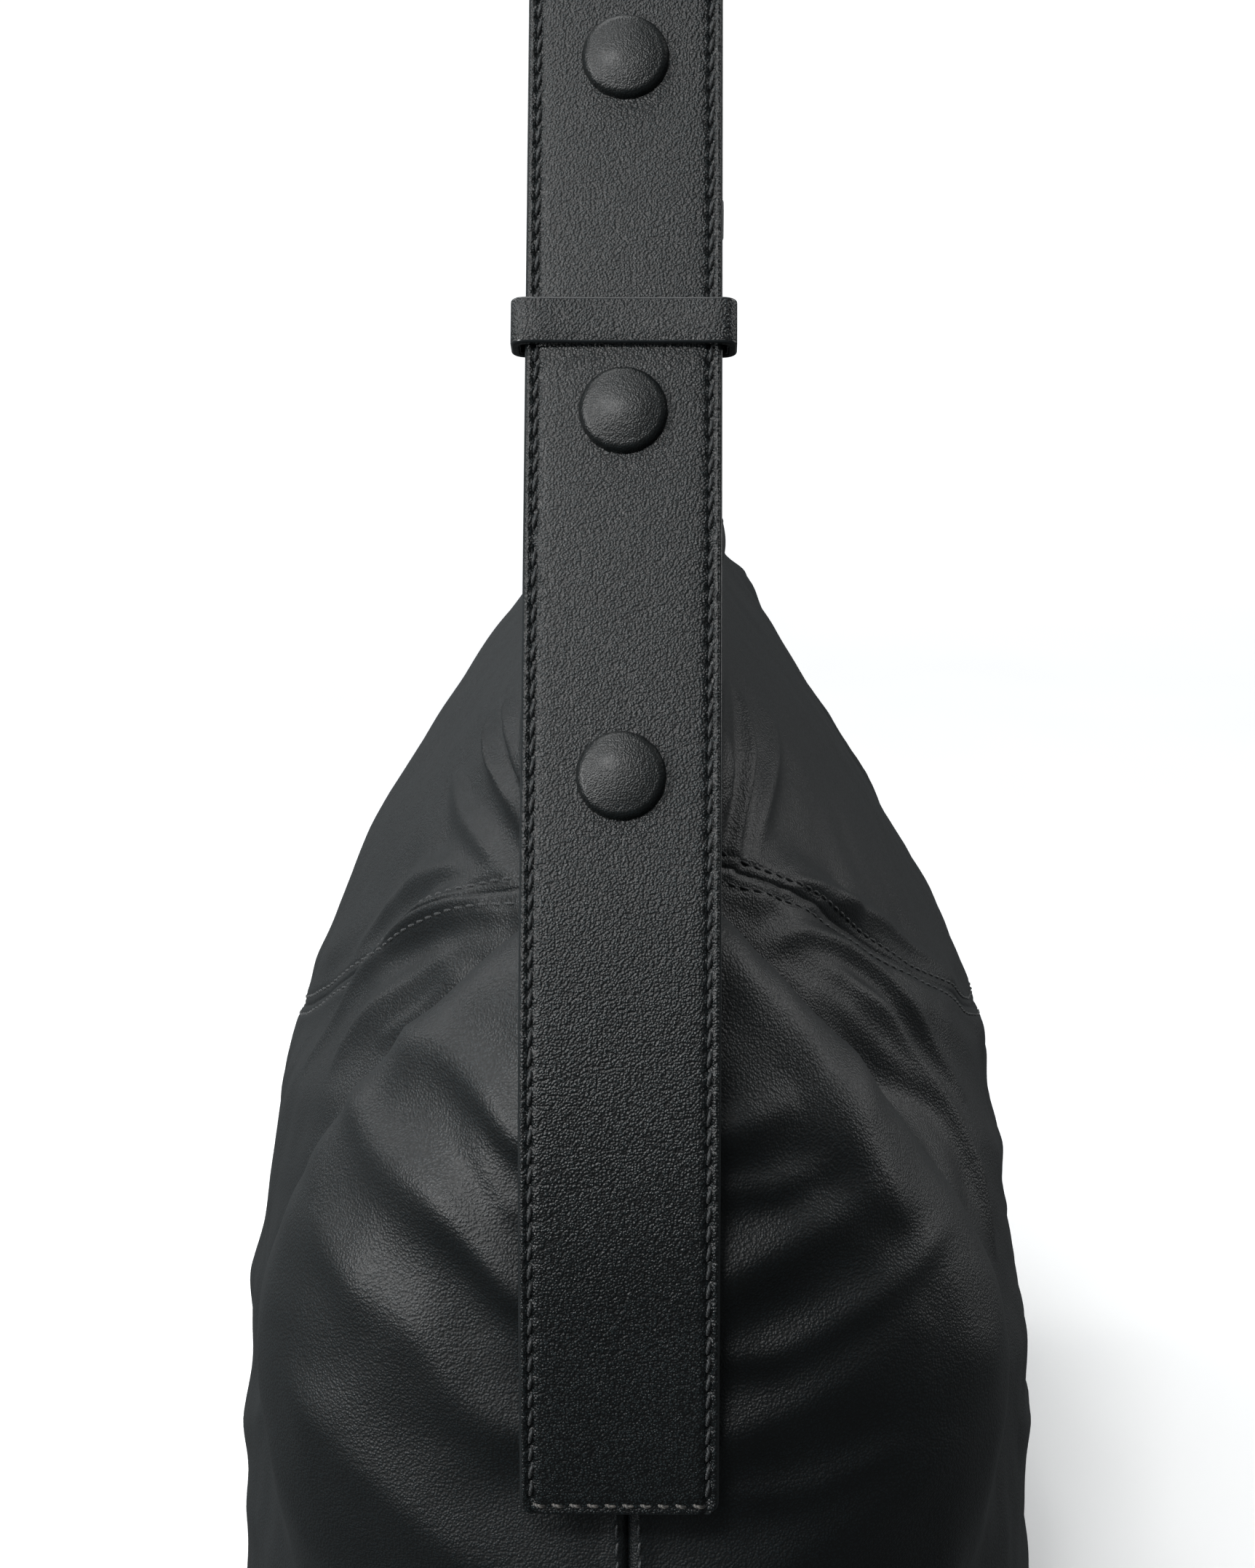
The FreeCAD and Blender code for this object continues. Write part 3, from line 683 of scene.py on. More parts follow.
def buildKeeper():
    look = keeperLook
    # route of the band's outer face round strap and tab, as seen along the strap
    depthHalf = (look["front"] + look["back"]) / 2
    depthMiddle = (look["back"] - look["front"]) / 2
    route = []
    for sideY, sideD in ((1, -1), (1, 1), (-1, 1), (-1, -1)):
        centre = ((look["halfWidth"] - look["corner"]) * sideY, (depthHalf - look["corner"]) * sideD)
        middle = math.atan2(sideD, sideY)
        for turn in np.linspace(-math.pi / 4, math.pi / 4, 9):
            angle = middle + turn
            unit = (math.cos(angle), math.sin(angle))
            route.append((centre[0] + look["corner"] * unit[0], centre[1] + look["corner"] * unit[1], unit))
    outline = []
    for k, item in enumerate(route):
        outline.append(item)
        following = route[(k + 1) % len(route)]
        gap = math.hypot(following[0] - item[0], following[1] - item[1])
        if gap > 2 * mm:
            for f in np.linspace(0, 1, 14)[1:-1]:
                outline.append((item[0] + (following[0] - item[0]) * f,
                                item[1] + (following[1] - item[1]) * f, item[2]))
    halfHeight = look["height"] / 2
    edge = 0.55 * mm
    section = []
    for sh, sd in ((1, 0), (-1, 0), (-1, 1), (1, 1)):
        centreH = (halfHeight - edge) * sh
        centreD = edge if sd == 0 else look["wall"] - edge
        base = {(1, 0): 0, (-1, 0): 1, (-1, 1): 2, (1, 1): 3}[(sh, sd)]
        for turn in np.linspace(0, math.pi / 2, 5):
            angle = math.pi / 2 * base + turn
            # along the strap, depth in from the band's outer face
            section.append((centreH + edge * math.cos(angle), centreD - edge * math.sin(angle)))
    verts = []
    for y, d, unit in outline:
        bow = 0.35 * mm * math.cos(math.pi / 2 * min(1, abs(y) / look["halfWidth"]))
        for upward, inDepth in section:
            yy = y - unit[0] * inDepth
            dd = d - unit[1] * inDepth + depthMiddle
            dd += bow if d < 0 else 0
            verts.append(strapPoint(look["place"] + upward, dd, yy))
    faces = gridFaces(len(outline), len(section), True)
    last = (len(outline) - 1) * len(section)
    count = len(section)
    for k in range(count):
        faces.append([last + k, last + (k + 1) % count, (k + 1) % count, k])
    # leather on the section's two flat faces, edge paint on the rest
    slots = [0 if k % count in (4, 14) else 1 for k in range(len(faces))]
    return makePiece("near_keeper_band", np.array(verts), faces, [strapLeather, edgePaint], slots)


nearKeeper = buildKeeper()
for keeper, end in ((nearKeeper, "near"), (mirrorPiece(nearKeeper, "far_keeper_band"), "far")):
    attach(keeper, end + "_keeper_loop")
    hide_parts(end + "_keeper")
print("keepers ready")


# covered snaps

coverLook = {"radius": 9.0 * mm, "height": 3.5 * mm, "rim": 1.9 * mm, "skirt": 1.2 * mm, "turns": 72}


def coverMesh(name, place, side, seed):
    # leather pulled over a domed cap: a low crown, a tight rim, faint puckers under the rim
    look = coverLook
    outline = [(f, look["height"] - 0.9 * mm * (f / (look["radius"] - look["rim"])) ** 2)
               for f in np.linspace(0.0, look["radius"] - look["rim"], 12)[1:]]
    top = outline[-1][1]
    for turn in np.linspace(0, math.pi / 2, 9)[1:]:
        outline.append((look["radius"] - look["rim"] + look["rim"] * math.sin(turn),
                        top - (top - 0.35 * mm) * (1 - math.cos(turn))))
    outline.append((look["radius"] - 0.12 * mm, 0.0))
    outline.append((look["radius"] - 0.3 * mm, -look["skirt"]))
    centre = strapPoint(place, 0.0)
    up = outward
    verts = [centre + up * (look["height"] + 0.1 * mm * noise.noise(Vector((seed, 0, seed))))]
    for radius, height in outline:
        for k in range(look["turns"]):
            angle = 2 * math.pi * k / look["turns"]
            pucker = 0.05 * mm * ramp(radius, 6.5 * mm, 9 * mm) * math.sin(angle * 17 + seed)
            wave = 0.1 * mm * noise.noise(Vector((radius * 160 * math.cos(angle) + seed,
                                                  radius * 160 * math.sin(angle), seed)))
            spot = centre + up * (height + wave) + along * (radius + pucker) * math.sin(angle)
            spot = spot + np.array([0, 1, 0]) * (radius + pucker) * math.cos(angle)
            verts.append(spot)
    turns = look["turns"]
    faces = [[0, 1 + k, 1 + (k + 1) % turns] for k in range(turns)]
    faces += gridFaces(len(outline), turns, True, 1)
    faces.append([1 + (len(outline) - 1) * turns + k for k in range(turns)][::-1])
    verts = np.array(verts) * [side, 1, 1]
    return makePiece(name, verts, faces, [coverLeather])


def buildCovers():
    upper = []
    for side, end in ((near, "near"), (far, "far")):
        lower = coverMesh(end + "_flap_cover", snapPlaces[0], side, 1.3 + side)
        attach(lower, end + "_flap")
        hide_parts(end + "_flap_snap_cover")
        for k in (1, 2):
            upper.append(coverMesh("c", snapPlaces[k], side, 2.1 * k + side))
    covers = joinPieces("arch_covers", upper)
    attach(covers, "strap")
    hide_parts("arch_snap_covers")


buildCovers()
for node, piece in frame["nodes"].items():
    if "snap_" in node or node.startswith("magnet"):
        finish = steel
    elif node == "base_board":
        finish = fibreBoard
    else:
        continue
    piece.data.materials.clear()
    piece.data.materials.append(finish)
print("snaps ready")


# bag: one surface, cut at its seams into yokes, panels and base

bagShape = {
    "heights": [0.0, 0.012, 0.05, 0.1, 0.15, 0.2, 0.24, 0.265, 0.285, 0.33],
    "depths": [0.080, 0.0925, 0.0975, 0.0950, 0.087, 0.0655, 0.0405, 0.0220, 0.0145, 0.0145],
    "squares": [3.0, 3.0, 2.7, 2.4, 2.05, 1.62, 1.65, 2.4, 4.5, 5.0],
    "setBacks": [0.014, 0.005, 0.001, 0.0, 0.0, 0.0, 0.0, 0.0, 0.0, 0.0],
    "pouchHeights": [0.0, 0.14, 0.165, 0.18, 0.195, 0.212, 0.226, 0.25, 0.33],
    "pouchHalves": [0.06, 0.078, 0.069, 0.060, 0.050, 0.037, 0.0262, 0.0238, 0.0222],
    "pouchLength": 62 * mm,
    "mouthRadius": 612 * mm,
    "seamPlaces": [-0.03, 0.0, 0.03, 0.06, 0.11, 0.15, 0.18, 0.21],
    "seamHeights": [0.161, 0.154, 0.161, 0.175, 0.202, 0.221, 0.236, 0.25],
    "baseSeam": 9 * mm,
    "lean": 2 * mm,
    "pouchBlend": 8 * mm,
    "quarter": 176,
    "outlines": 150,
    "panelRows": 150,
    "yokeRows": 110,
}
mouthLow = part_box("front_yoke")[1][2] - 27 * mm


def endReach(z):
    # the bag's end lies just behind the strap and its tab
    layers = strapThickness + 0.8 * mm + ramp(z, 0.19, 0.235) * 2.9 * mm
    low = lowerCentre[0] + np.sqrt(np.maximum(strapShape["lowerRadius"] ** 2
                                              - (strapShape["widestHeight"] - z) ** 2, 0))
    middle = bendCentre[0] + np.sqrt(np.maximum(strapShape["bendRadius"] ** 2
                                                - (z - strapShape["widestHeight"]) ** 2, 0))
    high = straightStart[0] - (z - straightStart[2]) * math.tan(lean)
    reach = np.where(z < strapShape["widestHeight"], low, np.where(z < straightStart[2], middle, high))
    slope = np.where(z < straightStart[2], 1.0, 1 / math.cos(lean))
    back = curveThrough(z, bagShape["heights"], bagShape["setBacks"])
    return reach - layers * slope - back


def quarterOutline(z):
    # from the end of the bag to its middle, evenly spaced
    length = float(endReach(np.array(z)))
    depth = float(curveThrough(np.array(z), bagShape["heights"], bagShape["depths"]))
    square = float(curveThrough(np.array(z), bagShape["heights"], bagShape["squares"]))
    half = float(curveThrough(np.array(z), bagShape["pouchHeights"], bagShape["pouchHalves"]))
    angle = np.linspace(0, math.pi / 2, 1400)
    x = length * np.cos(angle)
    lens = depth * np.maximum(1 - (x / length) ** square, 0) ** (1 / square)
    reach = bagShape["pouchLength"]
    t = np.clip((x - (length - reach)) / reach, 0, 1)
    inward = np.clip((length - reach - x) / 0.09, 0, 1)
    pouch = half * np.maximum(1 - t ** 2.3, 0) ** 0.5 * (1 - 0.75 * inward ** 1.5)
    blend = bagShape["pouchBlend"]
    y = softMax(lens, pouch, blend) - softMax(0 * x, 0 * x, blend)
    y = np.where(angle == 0, 0, np.maximum(y, 0)) * ramp(length - x, -1e-6, 0.0006)
    steps = np.concatenate([[0], np.cumsum(np.hypot(np.diff(x), np.diff(y)))])
    wanted = np.linspace(0, steps[-1], bagShape["quarter"] + 1)
    return np.stack([np.interp(wanted, steps, x), np.interp(wanted, steps, y)], -1)


def ringAt(quarter):
    # whole outline from its quarter: near end, back, far end, front
    first = quarter[:-1]
    second = (quarter[::-1] * [-1, 1])[:-1]
    third = (quarter * [-1, -1])[:-1]
    fourth = (quarter[::-1] * [1, -1])[:-1]
    return np.concatenate([first, second, third, fourth])


outlineHeights = np.linspace(0, 0.33, bagShape["outlines"])
outlineTable = np.array([ringAt(quarterOutline(z)) for z in outlineHeights])
columns = outlineTable.shape[1]
nominal = outlineTable[np.searchsorted(outlineHeights, 0.2)]
nominalX = np.abs(nominal[:, 0])
seamLine = curveThrough(nominalX, bagShape["seamPlaces"], bagShape["seamHeights"])
mouthLine = mouthLow + bagShape["mouthRadius"] - np.sqrt(bagShape["mouthRadius"] ** 2 - nominalX ** 2)
mouthLine = mouthLine + 5 * mm * ramp(nominalX, 0.15, 0.21)


def sharesUp(count):
    # shares of the way up, closer together beside a seam
    turn = np.cos(math.pi * np.linspace(0, 1, count))
    return 0.5 - 0.5 * turn * (0.6 + 0.4 * np.abs(turn))


lowerShares = sharesUp(bagShape["panelRows"])
upperShares = sharesUp(bagShape["yokeRows"])
baseLine = np.full(columns, bagShape["baseSeam"])
baseShares = np.linspace(0, 1, 8)
rowHeights = np.concatenate([
    baseShares[:-1, None] * baseLine[None],
    baseLine[None] + lowerShares[:-1, None] * (seamLine - baseLine)[None],
    seamLine[None] + upperShares[:, None] * (mouthLine - seamLine)[None]])
baseRows, panelRows = len(baseShares) - 1, len(lowerShares) - 1
seamRow = baseRows + panelRows


def surfaceAt(heights):
    # points of the plain surface at given heights, one height per column and row
    spot = np.clip(heights / outlineHeights[-1] * (len(outlineHeights) - 1), 0, len(outlineHeights) - 1.001)
    low = spot.astype(int)
    share = (spot - low)[..., None]
    column = np.arange(columns)[None, :]
    xy = outlineTable[low, column] * (1 - share) + outlineTable[low + 1, column] * share
    return np.concatenate([xy, heights[..., None]], -1)


plain = surfaceAt(rowHeights)
plainNormals = gridNormals(plain, True)


foldLook = {
    "slowHeight": 3.2 * mm,
    "middleHeight": 0.8 * mm,
    "fineHeight": 0.45 * mm,
    "seed": 7,
    # valley between each gathered horn and the faces: how deep and how far from the end
    "valleyHeights": [0.13, 0.16, 0.18, 0.2, 0.218, 0.235, 0.265],
    "valleyDepths": [0.0, 5 * mm, 14 * mm, 20 * mm, 17 * mm, 7 * mm, 0.0],
    "valleyPlaces": [0.085, 0.078, 0.07, 0.06, 0.05, 0.045, 0.045],
    "valleyWidth": 19 * mm,
    "gatherWidth": 8.0 * mm,
    "gatherHeight": 1.6 * mm,
    "scallopPitch": 0.031,
    "scallopHeight": 1.6 * mm,
}

# swags under the near horn: front-to-back place and height in mm, then fold height and half width
nearSwags = [
    ([(-20, 226), (-27, 214), (-34, 205), (-44, 196), (-60, 178), (-70, 160)], 4.0, 6.5),
    ([(20, 224), (27, 213), (38, 206), (47, 196), (51, 180), (60, 160)], 4.2, 6.0),
    ([(-48, 200), (-36, 193), (-20, 184), (0, 180), (22, 184), (38, 190)], 4.4, 6.0),
    ([(-60, 182), (-42, 172), (-20, 155), (0, 148), (20, 153), (40, 163), (54, 170)], 5.2, 8.0),
    ([(-34, 182), (-22, 171), (-6, 166), (10, 166)], 2.0, 3.6),
    ([(-66, 158), (-48, 142), (-24, 122), (0, 115), (24, 121), (46, 133), (62, 142)], 3.6, 9.0),
    ([(12, 170), (30, 172), (46, 178)], 2.0, 3.4),
    ([(10, 136), (30, 139), (52, 147), (68, 156)], 2.4, 4.6),
    ([(-74, 130), (-52, 108), (-26, 90), (0, 84), (26, 88), (52, 100), (70, 112)], 2.8, 11.0),
    ([(10, 104), (34, 106), (58, 114)], 1.8, 5.0),
    ([(10, 62), (30, 60), (52, 66), (72, 80)], 2.6, 7.5),
    ([(-86, 62), (-68, 46), (-46, 36), (-24, 33)], 3.2, 9.0),
]


def softRidge(across, up, line, height, width):
    # a fold along a line: a rounded crest with a shallow hollow on both sides, fading at its ends
    nodes = np.array(line) * mm
    steps = np.hypot(*np.diff(nodes, axis=0).T)
    total = steps.sum()
    nearest = np.full(across.shape, 1.0)
    place = np.zeros(across.shape)
    done = 0.0
    for first, last, step in zip(nodes, nodes[1:], steps):
        run = (last - first) / step
        t = np.clip((across - first[0]) * run[0] + (up - first[1]) * run[1], 0, step)
        away = np.hypot(across - first[0] - run[0] * t, up - first[1] - run[1] * t)
        closer = away < nearest
        nearest = np.where(closer, away, nearest)
        place = np.where(closer, (done + t) / total, place)
        done += step
    fade = np.sin(math.pi * np.clip(place, 0.0, 1.0)) ** 0.6
    narrow = width * mm * (0.6 + 0.4 * fade)
    crestShape = np.exp(-np.abs(nearest / narrow) ** 1.7)
    hollow = np.exp(-(nearest / (2.3 * narrow)) ** 2)
    return height * mm * fade * (1.25 * crestShape - 0.45 * hollow)


def folds(points):
    # height of the folds over the plain surface
    look = foldLook
    x, y, z = points[..., 0], points[..., 1], points[..., 2]
    slow = wander(points, 13.0, 3.7)
    middle = wander(points, 32.0, 9.1)
    fine = wander(points, 85.0, 2.3)
    fromEnd = np.maximum(endReach(z) - np.abs(x), 0)
    total = np.zeros(x.shape)
    shift = 4 * mm * middle
    rng = np.random.default_rng(look["seed"])
    for side in (near, far):
        atEnd = (x * side > 0) * ramp(fromEnd, 0.105, 0.05)
        for line, height, width in nearSwags:
            path = line
            if side == far:
                path = [(-u * 1.05 + 3, v - 6 + 0.08 * u) for u, v in line]
            total = total + atEnd * softRidge(y + shift, z + shift, path, height, width)
    # creases that fan out over both faces from the pinch beside each horn
    for side in (near, far):
        for face in (-1, 1):
            here = (x * side > 0) & (y * face > 0)
            turn = math.radians(-58)
            while turn < math.radians(72):
                length = rng.uniform(55, 125) * (0.7 + 0.3 * math.cos(turn))
                start = rng.uniform(2, 24)
                bend = rng.uniform(-0.25, 0.25)
                line = []
                for k in range(6):
                    reach = start + (length - start) * k / 5
                    angle = turn + bend * (k / 5) ** 2 - 0.35 * (k / 5)
                    line.append((152 - reach * math.cos(angle), 213 + reach * math.sin(angle) * 0.9))
                height = rng.uniform(1.8, 4.0)
                width = rng.uniform(2.6, 5.4)
                ridge = softRidge(np.abs(x) + 3 * mm * middle, z + 4 * mm * slow, line, height, width)
                total = total + ridge * here * ramp(np.abs(y), 4 * mm, 14 * mm)
                turn += math.radians(rng.uniform(9, 19))
    # long swags on the faces below the seam, and a slump over the base
    for face in (-1, 1):
        for k in range(9):
            low = 168 - 17 * k + rng.uniform(-5, 5)
            half = rng.uniform(60, 120)
            middleX = rng.uniform(-45, 45)
            rise = rng.uniform(10, 34)
            line = [(middleX + half * t, low + rise * t * t) for t in (-1, -0.6, -0.2, 0.2, 0.6, 1)]
            ridge = softRidge(x, z + 5 * mm * slow, line, rng.uniform(1.0, 2.4), rng.uniform(7, 13))
            total = total + ridge * (y * face > 0) * ramp(np.abs(y), 10 * mm, 30 * mm)
    # leather gathered into the horn
    girth = np.arctan2(y, fromEnd + 14 * mm) * 24 * mm
    gather = np.cos(2 * math.pi * girth / look["gatherWidth"] + 3.0 * slow + np.sign(x))
    hornShare = ramp(z, 0.205, 0.24) * ramp(fromEnd, 0.07, 0.03)
    total = total + look["gatherHeight"] * gather * hornShare
    scallop = np.sin(2 * math.pi * z / look["scallopPitch"] + 1.2 * np.sign(y) + 4 * slow)
    total = total + look["scallopHeight"] * scallop * ramp(z, 0.2, 0.23) * ramp(fromEnd, 0.06, 0.03)
    # valley between horn and faces
    depth = curveThrough(z, look["valleyHeights"], look["valleyDepths"])
    place = curveThrough(z, look["valleyHeights"], look["valleyPlaces"])
    total = total - depth * bump(fromEnd + 8 * mm * slow, place, look["valleyWidth"])
    calm = ramp(z, 0.012, 0.055) * (1 - 0.6 * ramp(z, 0.22, 0.27))
    total = total + calm * (look["slowHeight"] * slow + look["middleHeight"] * middle
                            + look["fineHeight"] * fine)
    return total * ramp(z, 0.004, 0.03)


bagLook = {"leather": 1.6 * mm, "lining": 1.0 * mm, "facingDepth": 38 * mm, "liningFloor": 5 * mm,
           "thread": {"radius": 0.34 * mm, "rise": 0.16 * mm, "dive": 0.4 * mm, "gap": 0.3 * mm,
                      "slant": 0.3 * mm},
           "stitchPitch": 3.9 * mm, "rowGap": 2.3 * mm}

# distance along the surface from the crescent seam, square to it; below the seam it is negative
risePerRow = np.linalg.norm(np.diff(plain, axis=0), axis=-1)
arcs = np.concatenate([np.zeros((1, columns)), np.cumsum(risePerRow, axis=0)])
seamTangent = np.roll(plain[seamRow], -1, 0) - np.roll(plain[seamRow], 1, 0)
rowTangent = plain[seamRow + 6] - plain[seamRow - 6]
crossing = (np.linalg.norm(np.cross(seamTangent, rowTangent), axis=-1)
            / np.linalg.norm(seamTangent, axis=-1) / np.linalg.norm(rowTangent, axis=-1))
fromSeam = (arcs - arcs[seamRow]) * crossing[None, :]
fromMouth = arcs[-1][None, :] - arcs


def seamRelief(points, heights):
    # panels puff up beside a seam and dip into it
    x, y = points[..., 0], points[..., 1]
    relief = -0.35 * mm * bump(fromSeam, 0, 0.5 * mm)
    relief = relief + 0.3 * mm * bump(np.abs(fromSeam), 3.4 * mm, 2.4 * mm)
    relief = relief - 0.22 * mm * bump(np.abs(fromSeam), bagLook["rowGap"], 0.55 * mm)
    toBase = np.abs(heights - bagShape["baseSeam"])
    relief = relief - 0.8 * mm * bump(toBase, 0, 0.9 * mm)
    onEnd = ramp(np.abs(x), 0.12, 0.16) * (fromSeam < 1 * mm)
    relief = relief + onEnd * (-1.1 * mm * bump(np.abs(y), 0, 0.8 * mm)
                               + 0.6 * mm * bump(np.abs(y), 2.4 * mm, 1.6 * mm))
    relief = relief - 0.25 * mm * bump(fromMouth, 4 * mm, 0.6 * mm)
    return relief


def fitBehindStrap(points):
    # the strap presses the leather back where it lies over it
    x, y, z = points[..., 0], points[..., 1], points[..., 2]
    limit = endReach(z) + 0.5 * mm
    under = 1 - ramp(np.abs(y), 0.0225, 0.027)
    above = ramp(z, 0.09, 0.1)
    over = np.maximum(np.abs(x) - limit, 0) * under * above
    fitted = points.copy()
    fitted[..., 0] = x - np.sign(x) * over
    fitted[..., 2] = np.maximum(z, 0.0)
    return fitted


print("folding the leather")
foldHeights = folds(plain)
skin = plain + plainNormals * foldHeights[..., None]
skinNormals = gridNormals(skin, True)
skin = skin + skinNormals * seamRelief(plain, rowHeights)[..., None]
skin[..., 1] += bagShape["lean"] * ramp(plain[..., 2], 0.2, 0.06)
skin = fitBehindStrap(skin)
skinNormals = gridNormals(skin, True)
quarterColumn = bagShape["quarter"]
backColumns = np.arange(0, 2 * quarterColumn + 1)
frontColumns = np.arange(2 * quarterColumn, 4 * quarterColumn + 1) % columns


def closedSheet(name, points, normals, thickness, material):
    # a closed sheet of leather from its outer grid: outer face, back face and four rounded edges
    rows, across = points.shape[:2]
    inner = points - normals * thickness
    verts = np.concatenate([points.reshape(-1, 3), inner.reshape(-1, 3)])
    faces = gridFaces(rows, across, False)
    back = np.array(gridFaces(rows, across, False, rows * across))[:, ::-1].tolist()
    faces += back
    offset = rows * across
    border = ([c for c in range(across)] + [r * across + across - 1 for r in range(1, rows)]
              + [(rows - 1) * across + c for c in range(across - 2, -1, -1)]
              + [r * across for r in range(rows - 2, 0, -1)])
    count = len(border)
    for k in range(count):
        a, b = border[k], border[(k + 1) % count]
        faces.append([a, a + offset, b + offset, b])
    return makePiece(name, verts, faces, [material])


def buildSkin():
    for side, picked in (("back", backColumns), ("front", frontColumns)):
        panel = closedSheet(side + "_panel_leather", skin[baseRows:seamRow + 1][:, picked],
                            skinNormals[baseRows:seamRow + 1][:, picked], bagLook["leather"], bodyLeather)
        yoke = closedSheet(side + "_yoke_leather", skin[seamRow:][:, picked],
                           skinNormals[seamRow:][:, picked], bagLook["leather"], bodyLeather)
        for piece, node in ((panel, side + "_panel"), (yoke, side + "_yoke")):
            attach(piece, "bag")
            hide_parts(node)


def traySheet(name, wall, ringCount, floor, thickness, material):
    # a closed tray: a floor of shrinking rings inside the wall's lowest row, then the wall
    rings = []
    for share in np.linspace(0.02, 1.0, ringCount)[:-1]:
        ring = wall[0].copy()
        ring[:, :2] *= share
        ring[:, 2] = floor
        rings.append(ring)
    grid = np.concatenate([np.array(rings), wall])
    rows, across = grid.shape[:2]
    inner = grid - gridNormals(grid, True) * thickness
    faces = gridFaces(rows, across, True)
    offset = rows * across
    faces += np.array(gridFaces(rows, across, True, offset))[:, ::-1].tolist()
    for k in range(across):
        a, b = (rows - 1) * across + k, (rows - 1) * across + (k + 1) % across
        faces.append([a, b, b + offset, a + offset])
    faces.append(list(range(across))[::-1])
    faces.append([offset + k for k in range(across)])
    verts = np.concatenate([grid.reshape(-1, 3), inner.reshape(-1, 3)])
    return makePiece(name, verts, faces, [material])


def buildBase():
    # turns up to the base seam
    base = traySheet("base_leather", skin[:baseRows + 1], 26, 0.0, bagLook["leather"], bodyLeather)
    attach(base, "bag")
    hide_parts("base_panel")


buildSkin()
buildBase()
print("leather shell ready")


# topstitching on the shell

def pointOnSkin(table, value, columnSpot):
    # skin and its normal where a table of the grid, such as its heights, takes a value
    column = np.floor(columnSpot).astype(int) % columns
    share = (columnSpot - np.floor(columnSpot))[:, None]
    found, facing = [], []
    for c in (column, (column + 1) % columns):
        row = np.array([np.interp(v, table[:, k], np.arange(table.shape[0]))
                        for k, v in zip(c, value)])
        low = np.minimum(row.astype(int), table.shape[0] - 2)
        part = (row - low)[:, None]
        found.append(skin[low, c] * (1 - part) + skin[low + 1, c] * part)
        facing.append(skinNormals[low, c] * (1 - part) + skinNormals[low + 1, c] * part)
    return found[0] * (1 - share) + found[1] * share, facing[0] * (1 - share) + facing[1] * share


def evenly(points, normals, pitch):
    # the same line with its points one stitch apart
    steps = np.concatenate([[0], np.cumsum(np.linalg.norm(np.diff(points, axis=0), axis=1))])
    wanted = np.linspace(0, steps[-1], int(steps[-1] / pitch) + 1)
    line = np.stack([np.interp(wanted, steps, points[:, k]) for k in range(3)], -1)
    facing = np.stack([np.interp(wanted, steps, normals[:, k]) for k in range(3)], -1)
    return line, facing


def sewSkin():
    look = bagLook
    rows = []
    for picked in (backColumns, frontColumns):
        for offset in (-look["rowGap"], look["rowGap"]):
            spots = picked[6:-6]
            line, facing = pointOnSkin(fromSeam, np.full(spots.shape, offset), spots.astype(float))
            line, facing = evenly(line, facing, look["stitchPitch"])
            rows.append(sewRow("s", line, facing, look["thread"], darkThread))
        spots = picked[4:-4]
        line, facing = pointOnSkin(-fromMouth, np.full(spots.shape, -4 * mm), spots.astype(float))
        line, facing = evenly(line, facing, look["stitchPitch"])
        rows.append(sewRow("s", line, facing, look["thread"], darkThread))
    for centre in (0, 2 * quarterColumn):
        for direction in (-1, 1):
            heights = np.linspace(bagShape["baseSeam"] + 2 * mm, seamLine[centre] - 2 * mm, 200)
            spacing = np.linalg.norm(plain[60, 1] - plain[60, 0])
            spots = np.full(heights.shape, centre + direction * look["rowGap"] / spacing) % columns
            line, facing = pointOnSkin(rowHeights, heights, spots)
            line, facing = evenly(line, facing, look["stitchPitch"])
            rows.append(sewRow("s", line, facing, look["thread"], darkThread))
    ring = np.arange(columns)
    line, facing = pointOnSkin(rowHeights, np.full(columns, bagShape["baseSeam"] + 2.5 * mm),
                               ring.astype(float))
    line, facing = evenly(line, facing, look["stitchPitch"])
    rows.append(sewRow("s", line, facing, look["thread"], darkThread))
    thread = joinPieces("shell_stitches", rows)
    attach(thread, "bag")


sewSkin()
print("shell sewn")


# inside: mouth facings, lining, slip pocket

def buildInside():
    look = bagLook
    inset = look["leather"] + 0.1 * mm
    facingRows = [r for r in range(rowHeights.shape[0])
                  if np.max(mouthLine - rowHeights[r]) < look["facingDepth"] + 3 * mm]
    low = facingRows[0]
    for side, picked in (("back", backColumns), ("front", frontColumns)):
        grid = (skin - skinNormals * inset)[low:][:, picked]
        piece = closedSheet(side + "_facing_leather", grid, skinNormals[low:][:, picked],
                            look["lining"], bodyLeather)
        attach(piece, "bag")
        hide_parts(side + "_facing")
    grid = (skin - skinNormals * inset)[2:low + 1]
    grid[0, :, 2] = look["liningFloor"]
    lining = traySheet("lining_twill", grid, 16, look["liningFloor"], look["lining"], twill)
    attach(lining, "bag")
    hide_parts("lining")
    pocketLow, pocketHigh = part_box("slip_pocket")
    middle = quarterColumn
    spread = [c for c in backColumns if abs(nominal[c, 0]) < pocketHigh[0]]
    band = [r for r in range(rowHeights.shape[0])
            if pocketLow[2] < rowHeights[r, middle] < pocketHigh[2]]
    area = (skin - skinNormals * (inset + look["lining"] + 0.2 * mm))[band[0]:band[-1] + 1][:, spread]
    pocket = closedSheet("slip_pocket_twill", area,
                         skinNormals[band[0]:band[-1] + 1][:, spread], 0.9 * mm, twill)
    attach(pocket, "bag")
    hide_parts("slip_pocket")


magnetLook = {"radius": 9 * mm, "thickness": 2.6 * mm, "edge": 0.5 * mm, "turns": 64, "below": 22 * mm}


